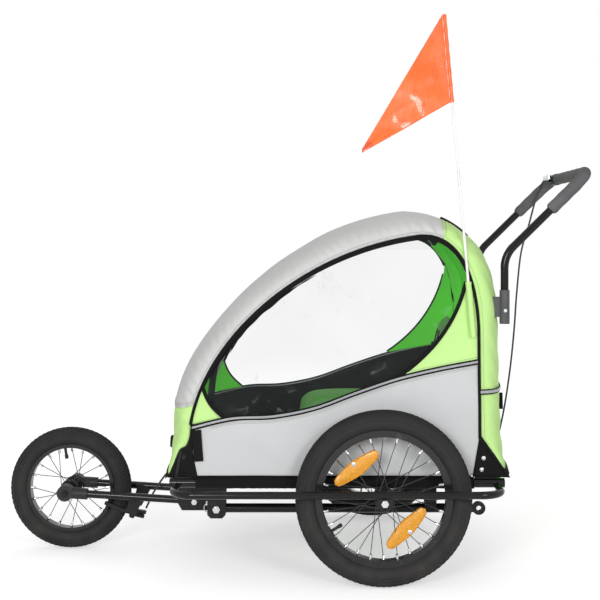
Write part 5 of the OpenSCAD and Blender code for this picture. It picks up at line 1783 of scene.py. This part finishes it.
class StudRing(Pattern):
    """One small shape round a wheel in staggered rows, leaning as a round section does."""

    NAME = "wheel_studs"
    SOCKETS = (("Count", "Int"), ("Rows", "Int"), ("Radius", "Float"), ("Pitch", "Float"),
               ("Section", "Float"), ("Turn", "Float"), ("Centre", "Vector"))

    @classmethod
    def copies(cls, g: Graph, given: Any) -> bpy.types.NodeSocket:
        """The piece's own shape at each place of the rows."""
        index = g.add("GeometryNodeInputIndex").outputs[0]
        row = g.sum("MODULO", index, given["Rows"])
        step = g.sum("FLOOR", g.sum("DIVIDE", index, given["Rows"]))
        shifted = g.sum("ADD", step, g.sum("MULTIPLY", g.sum("MODULO", row, 2.0), 0.5))
        turned = g.sum("MULTIPLY", g.sum("DIVIDE", shifted, given["Count"]), 2 * math.pi)
        angle = g.sum("ADD", turned, given["Turn"])
        middle = g.sum("MULTIPLY", g.sum("SUBTRACT", given["Rows"], 1.0), 0.5)
        y = g.sum("MULTIPLY", g.sum("SUBTRACT", row, middle), given["Pitch"])
        lean = g.sum("ARCSINE", g.sum("DIVIDE", y, given["Section"]))
        fall = g.sum("MULTIPLY", given["Section"], g.sum("SUBTRACT", 1.0, g.sum("COSINE", lean)))
        radius = g.sum("SUBTRACT", given["Radius"], fall)
        x, z = (g.sum("MULTIPLY", radius, g.sum(way, angle)) for way in ("SINE", "COSINE"))
        place = g.add("ShaderNodeCombineXYZ", {0: x, 1: y, 2: z}).outputs[0]
        spin = g.add("ShaderNodeCombineXYZ", {0: g.sum("MULTIPLY", lean, -1.0), 1: angle, 2: 0.0}).outputs[0]
        count = g.sum("MULTIPLY", given["Count"], given["Rows"])
        dots = g.add("GeometryNodePoints", {"Count": count, "Position": place}).outputs[0]
        studs = g.add("GeometryNodeInstanceOnPoints", {"Points": dots, "Instance": given["Geometry"],
                                                       "Rotation": spin}).outputs[0]
        moved = g.add("GeometryNodeTransform", {"Geometry": studs, "Translation": given["Centre"]})
        return moved.outputs[0]


@dataclass
class Wheel:
    """Detail of one wheel: tread studs, sidewall rings and spoke nipples."""

    body: str
    centre: tuple[float, float, float]
    radius: float
    tyre: float
    studs: int
    rim: float
    spokes: int
    flank: int = 1
    stud: tuple[float, float, float] = (0.0078, 0.0048, 0.0054)
    stud_rows: int = 7
    stud_pitch: float = 0.0061
    stud_sunk: float = 0.0006
    ridges: tuple[Flat, ...] = ((0.2, 0.0022), (0.55, 0.0015))
    nipple: tuple[Flat, ...] = ((0.0001, -0.0056), (0.0026, -0.0056), (0.0029, -0.0045), (0.003, 0.003),
                                (0.0035, 0.0038), (0.0035, 0.0052), (0.0001, 0.0052))
    nipple_in: float = 0.0062
    nipple_gap: float = 0.0078
    nipple_lean: float = -0.02

    def tread(self) -> None:
        """Sets rows of small studs over the tyre's crown."""
        stud = Shape()
        stud.block(Vector(), (ALONG, ACROSS, UP), self.stud)
        obj = stud.piece(f"{self.body}_tread", Look.TREAD.material())
        StudRing.run(obj, Look.TREAD, Count=self.studs, Rows=self.stud_rows, Pitch=self.stud_pitch,
                     Radius=self.radius - self.stud_sunk, Section=self.tyre / 2, Turn=0.0, Centre=self.centre)
        fit(obj, self.body)

    def ridge(self, side: int, lean: float, thick: float, a: float, b: float) -> Vector:
        """Point of a thin ring on a sidewall, at an angle round the axle and one round the ring."""
        half = self.tyre / 2
        reach = self.radius - half + half * math.sin(lean) + thick * math.cos(b)
        y = side * half * math.cos(lean) + thick * math.sin(b)
        return Vector(self.centre) + Vector((reach * math.cos(a), y, reach * math.sin(a)))

    def rings(self) -> None:
        """Turns the raised rings of the tyre's sidewalls."""
        shape = Shape()
        turn = 2 * math.pi
        for side in (-1, 1):
            for lean, thick in self.ridges:
                shape.grid(lambda u, v: self.ridge(side, lean, thick, turn * u, turn * v), 120, 8)
        fit(shape.piece(f"{self.body}_sidewall", Look.TYRE.material()), self.body)

    def nipples(self) -> None:
        """Sets a bright nipple on the rim end of each spoke."""
        sleeve = Shape()
        sleeve.disc(Vector(), UP, self.nipple, 8)
        obj = sleeve.piece(f"{self.body}_nipples", Look.ALLOY.material())
        StudRing.run(obj, Look.ALLOY, Count=self.spokes // 2, Rows=2, Radius=self.rim - self.nipple_in,
                     Pitch=self.flank * self.nipple_gap, Section=self.nipple_lean, Turn=math.pi / 2,
                     Centre=self.centre)
        fit(obj, self.body)

    def build(self) -> None:
        """Makes the wheel's detail."""
        self.tread()
        self.rings()
        self.nipples()
        LOG.info("%s dressed", self.body)


@dataclass
class Reflectors:
    """Two amber spoke reflectors of a wheel, each a slim boat shape with a silver clip."""

    wheel: str
    side: int
    centre: tuple[float, float, float]
    places: tuple[tuple[float, float, float], ...] = ((0.095, 131.0, 37.0), (0.082, 308.0, 46.0))
    half: float = 0.061
    end: float = 0.0092
    belly: float = 0.0185
    inner: float = 0.0112
    thick: float = 0.0085
    steps: int = 40
    section: tuple[Flat, ...] = ((-1.0, 0.15), (-1.0, 0.7), (-0.9, 0.86), (-0.82, 0.72), (-0.4, 0.92),
                                 (0.0, 1.0), (0.4, 0.92), (0.82, 0.72), (0.9, 0.86), (1.0, 0.7), (1.0, 0.15),
                                 (0.9, 0.0), (-0.9, 0.0))
    clip: tuple[Flat, ...] = ((0.0001, -0.002), (0.0052, -0.002), (0.0052, 0.001), (0.0042, 0.0019),
                              (0.0017, 0.002), (0.0013, 0.0012), (0.0001, 0.0012))

    def wide(self, share: float) -> float:
        """Half width at a share of the half length."""
        return mix(self.belly, self.end, abs(share) ** 1.35) * math.sqrt(max(1 - abs(share) ** 18, 0.02))

    def build(self) -> None:
        """Makes the two reflectors and their clips."""
        shape = Shape()
        out = self.side * ACROSS
        hub = Vector(self.centre)
        for radius, angle, tilt in self.places:
            a, b = math.radians(angle), math.radians(tilt)
            along = Vector((math.cos(b), 0, math.sin(b)))
            across = Vector((-math.sin(b), 0, math.cos(b)))
            middle = hub + radius * Vector((math.cos(a), 0, math.sin(a))) + out * self.inner
            rings = []
            for i in range(self.steps + 1):
                share = mix(-1, 1, i / self.steps)
                at, w = middle + share * self.half * along, self.wide(share)
                rings.append([at + q * w * across + h * self.thick * out for q, h in self.section])
            shape.sweep(rings)
            away = math.copysign(self.belly * 0.62, across.dot(middle - hub))
            shape.disc(middle + away * across + out * self.thick * 0.8, out, self.clip, 18, 1)
        obj = shape.piece(f"{self.wheel}_amber", Look.AMBER.material(), Look.STEEL.material())
        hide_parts(f"{self.wheel.split('_')[0]}_reflectors")
        fit(obj, self.wheel)
        LOG.info("%s reflectors", self.wheel)


@dataclass
class Grip:
    """Foam on the push handle, in two lengths beside the brake lever's clamp."""

    x: float = 492.0
    z: float = 950.0
    y: float = 236.0
    leg: Flat = (291.0, 752.0)
    start: float = 0.54
    bend: float = 55.0
    radius: float = 14.5
    clamp: Flat = (139.8, 176.2)

    def route(self, side: int, stop: float) -> list[Vector]:
        """Middle line up the leg, round the corner and along the bar to the clamp."""
        corner = Vector((self.x, side * self.y, self.z))
        foot_x, foot_z = between(self.leg, (self.x, self.z), self.start)
        foot = Vector((foot_x, side * self.y, foot_z))
        up = (corner - foot).normalized()
        across = -side * ACROSS
        first = corner - self.bend * up
        centre = first + self.bend * across
        points = [foot.lerp(first, i / 16) for i in range(16)]
        points += [centre + self.bend * (math.sin(a) * up - math.cos(a) * across)
                   for a in (math.pi / 2 * i / 16 for i in range(17))]
        last = Vector((self.x, stop, self.z))
        points += [points[-1].lerp(last, i / 40) for i in range(1, 41)]
        return [rel(*p) for p in points]

    def build(self) -> None:
        """Makes the two foam lengths."""
        shape = Shape()
        for side, stop in zip((-1, 1), self.clamp):
            path = self.route(side, stop)
            length = length_of(path)

            def radius(t: float, length: float = length) -> float:
                """Foam radius with soft ends and a slow swell."""
                soft = 0.003 * math.exp(-min(t, 1 - t) * length / 0.002)
                return self.radius * MM - soft + 0.0003 * math.sin(t * 60)

            shape.tube(path, radius, 24)
        obj = shape.piece("foam_grip", Look.FOAM.material())
        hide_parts("handle_grip")
        fit(obj, "rear_hoop")


@dataclass
class Fittings:
    """Bolt heads on the rear gussets."""

    places: tuple[Flat, ...] = ((234.0, 282.0), (229.0, 256.0))
    proud: float = 2.2
    head: tuple[Flat, ...] = ((0.0001, 0.0), (0.0048, 0.0), (0.0048, 0.0008), (0.0036, 0.0011),
                              (0.0033, 0.0026), (0.0026, 0.0032), (0.0001, 0.0034))

    def build(self) -> None:
        """Makes the bolt heads."""
        heads = Shape()
        for side in (-1, 1):
            for place in self.places:
                heads.disc(side_pt(side, place, self.proud), side * ACROSS, self.head, 18)
        fit(heads.piece("gusset_bolts", Look.STEEL.material()), "chassis")


class Frame:
    """Finishes of the CAD pieces that stay in view."""

    FINISHES = {
        Look.TUBE: ("floor_frame", "guard_tube_left", "guard_tube_right", "jogger_arm_left", "jogger_arm_right",
                    "rear_hoop", "front_arch", "handle_bar", "tow_arm"),
        Look.PLATE: ("axle_dropouts", "hinge_brackets", "jogger_brackets", "brake_bridge", "front_hub",
                     "left_hub", "right_hub", "tow_bracket", "front_axle", "caliper_arm_left",
                     "caliper_arm_right", "hinge_bolts"),
        Look.STEEL: ("jogger_pins", "rear_axles", "snap_button_left", "snap_button_right", "tow_pins"),
        Look.ALLOY: ("brake_lever",),
        Look.SPOKE: ("front_spokes", "left_spokes", "right_spokes"),
        Look.RIM: ("front_rim", "left_rim", "right_rim"),
        Look.TYRE: ("front_tyre", "left_tyre", "right_tyre"),
        Look.RUBBER: ("brake_pad_left", "brake_pad_right"),
        Look.PLASTIC: ("fork_ends", "lever_perch"),
        Look.GREY_PLASTIC: ("handle_sockets",),
        Look.POLE: ("flag_pole",),
    }

    def build(self) -> None:
        """Gives each CAD piece its finish."""
        for finish, nodes in self.FINISHES.items():
            material = finish.material()
            for name in nodes:
                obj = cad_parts[name]
                for slot in obj.material_slots:
                    slot.material = material
                if not obj.material_slots:
                    obj.data.materials.append(material)
                LOG.info("%s: %s", name, finish.name)


def main() -> None:
    """Builds the studio and every sub-assembly in order."""
    logging.basicConfig(level=logging.INFO, format="%(name)s %(message)s")
    left_hub, right_hub, front_hub = (0.216, -0.337, 0.2), (0.216, 0.337, 0.2), (-0.57, 0.0, 0.1525)
    rear = {"radius": 0.2, "tyre": 0.046, "studs": 92, "rim": 0.141, "spokes": 28}
    front = {"radius": 0.1525, "tyre": 0.044, "studs": 72, "rim": 0.102, "spokes": 20}
    parts = [
        Studio(),
        BrakeLine(),
        Frame(),
        Canopy(),
        SideWall(-1, "left"),
        SideWall(1, "right"),
        Seat(),
        HoopSleeves(),
        FloorCloth(),
        Flag(),
        Wheel("left_wheel", left_hub, **rear),
        Wheel("right_wheel", right_hub, **rear, flank=-1),
        Wheel("front_wheel", front_hub, **front),
        Reflectors("left_wheel", -1, left_hub),
        Reflectors("right_wheel", 1, right_hub),
        Grip(),
        Fittings(),
    ]
    for part in parts:
        LOG.info("building %s", type(part).__name__)
        part.build()


if __name__ == "__main__":
    main()
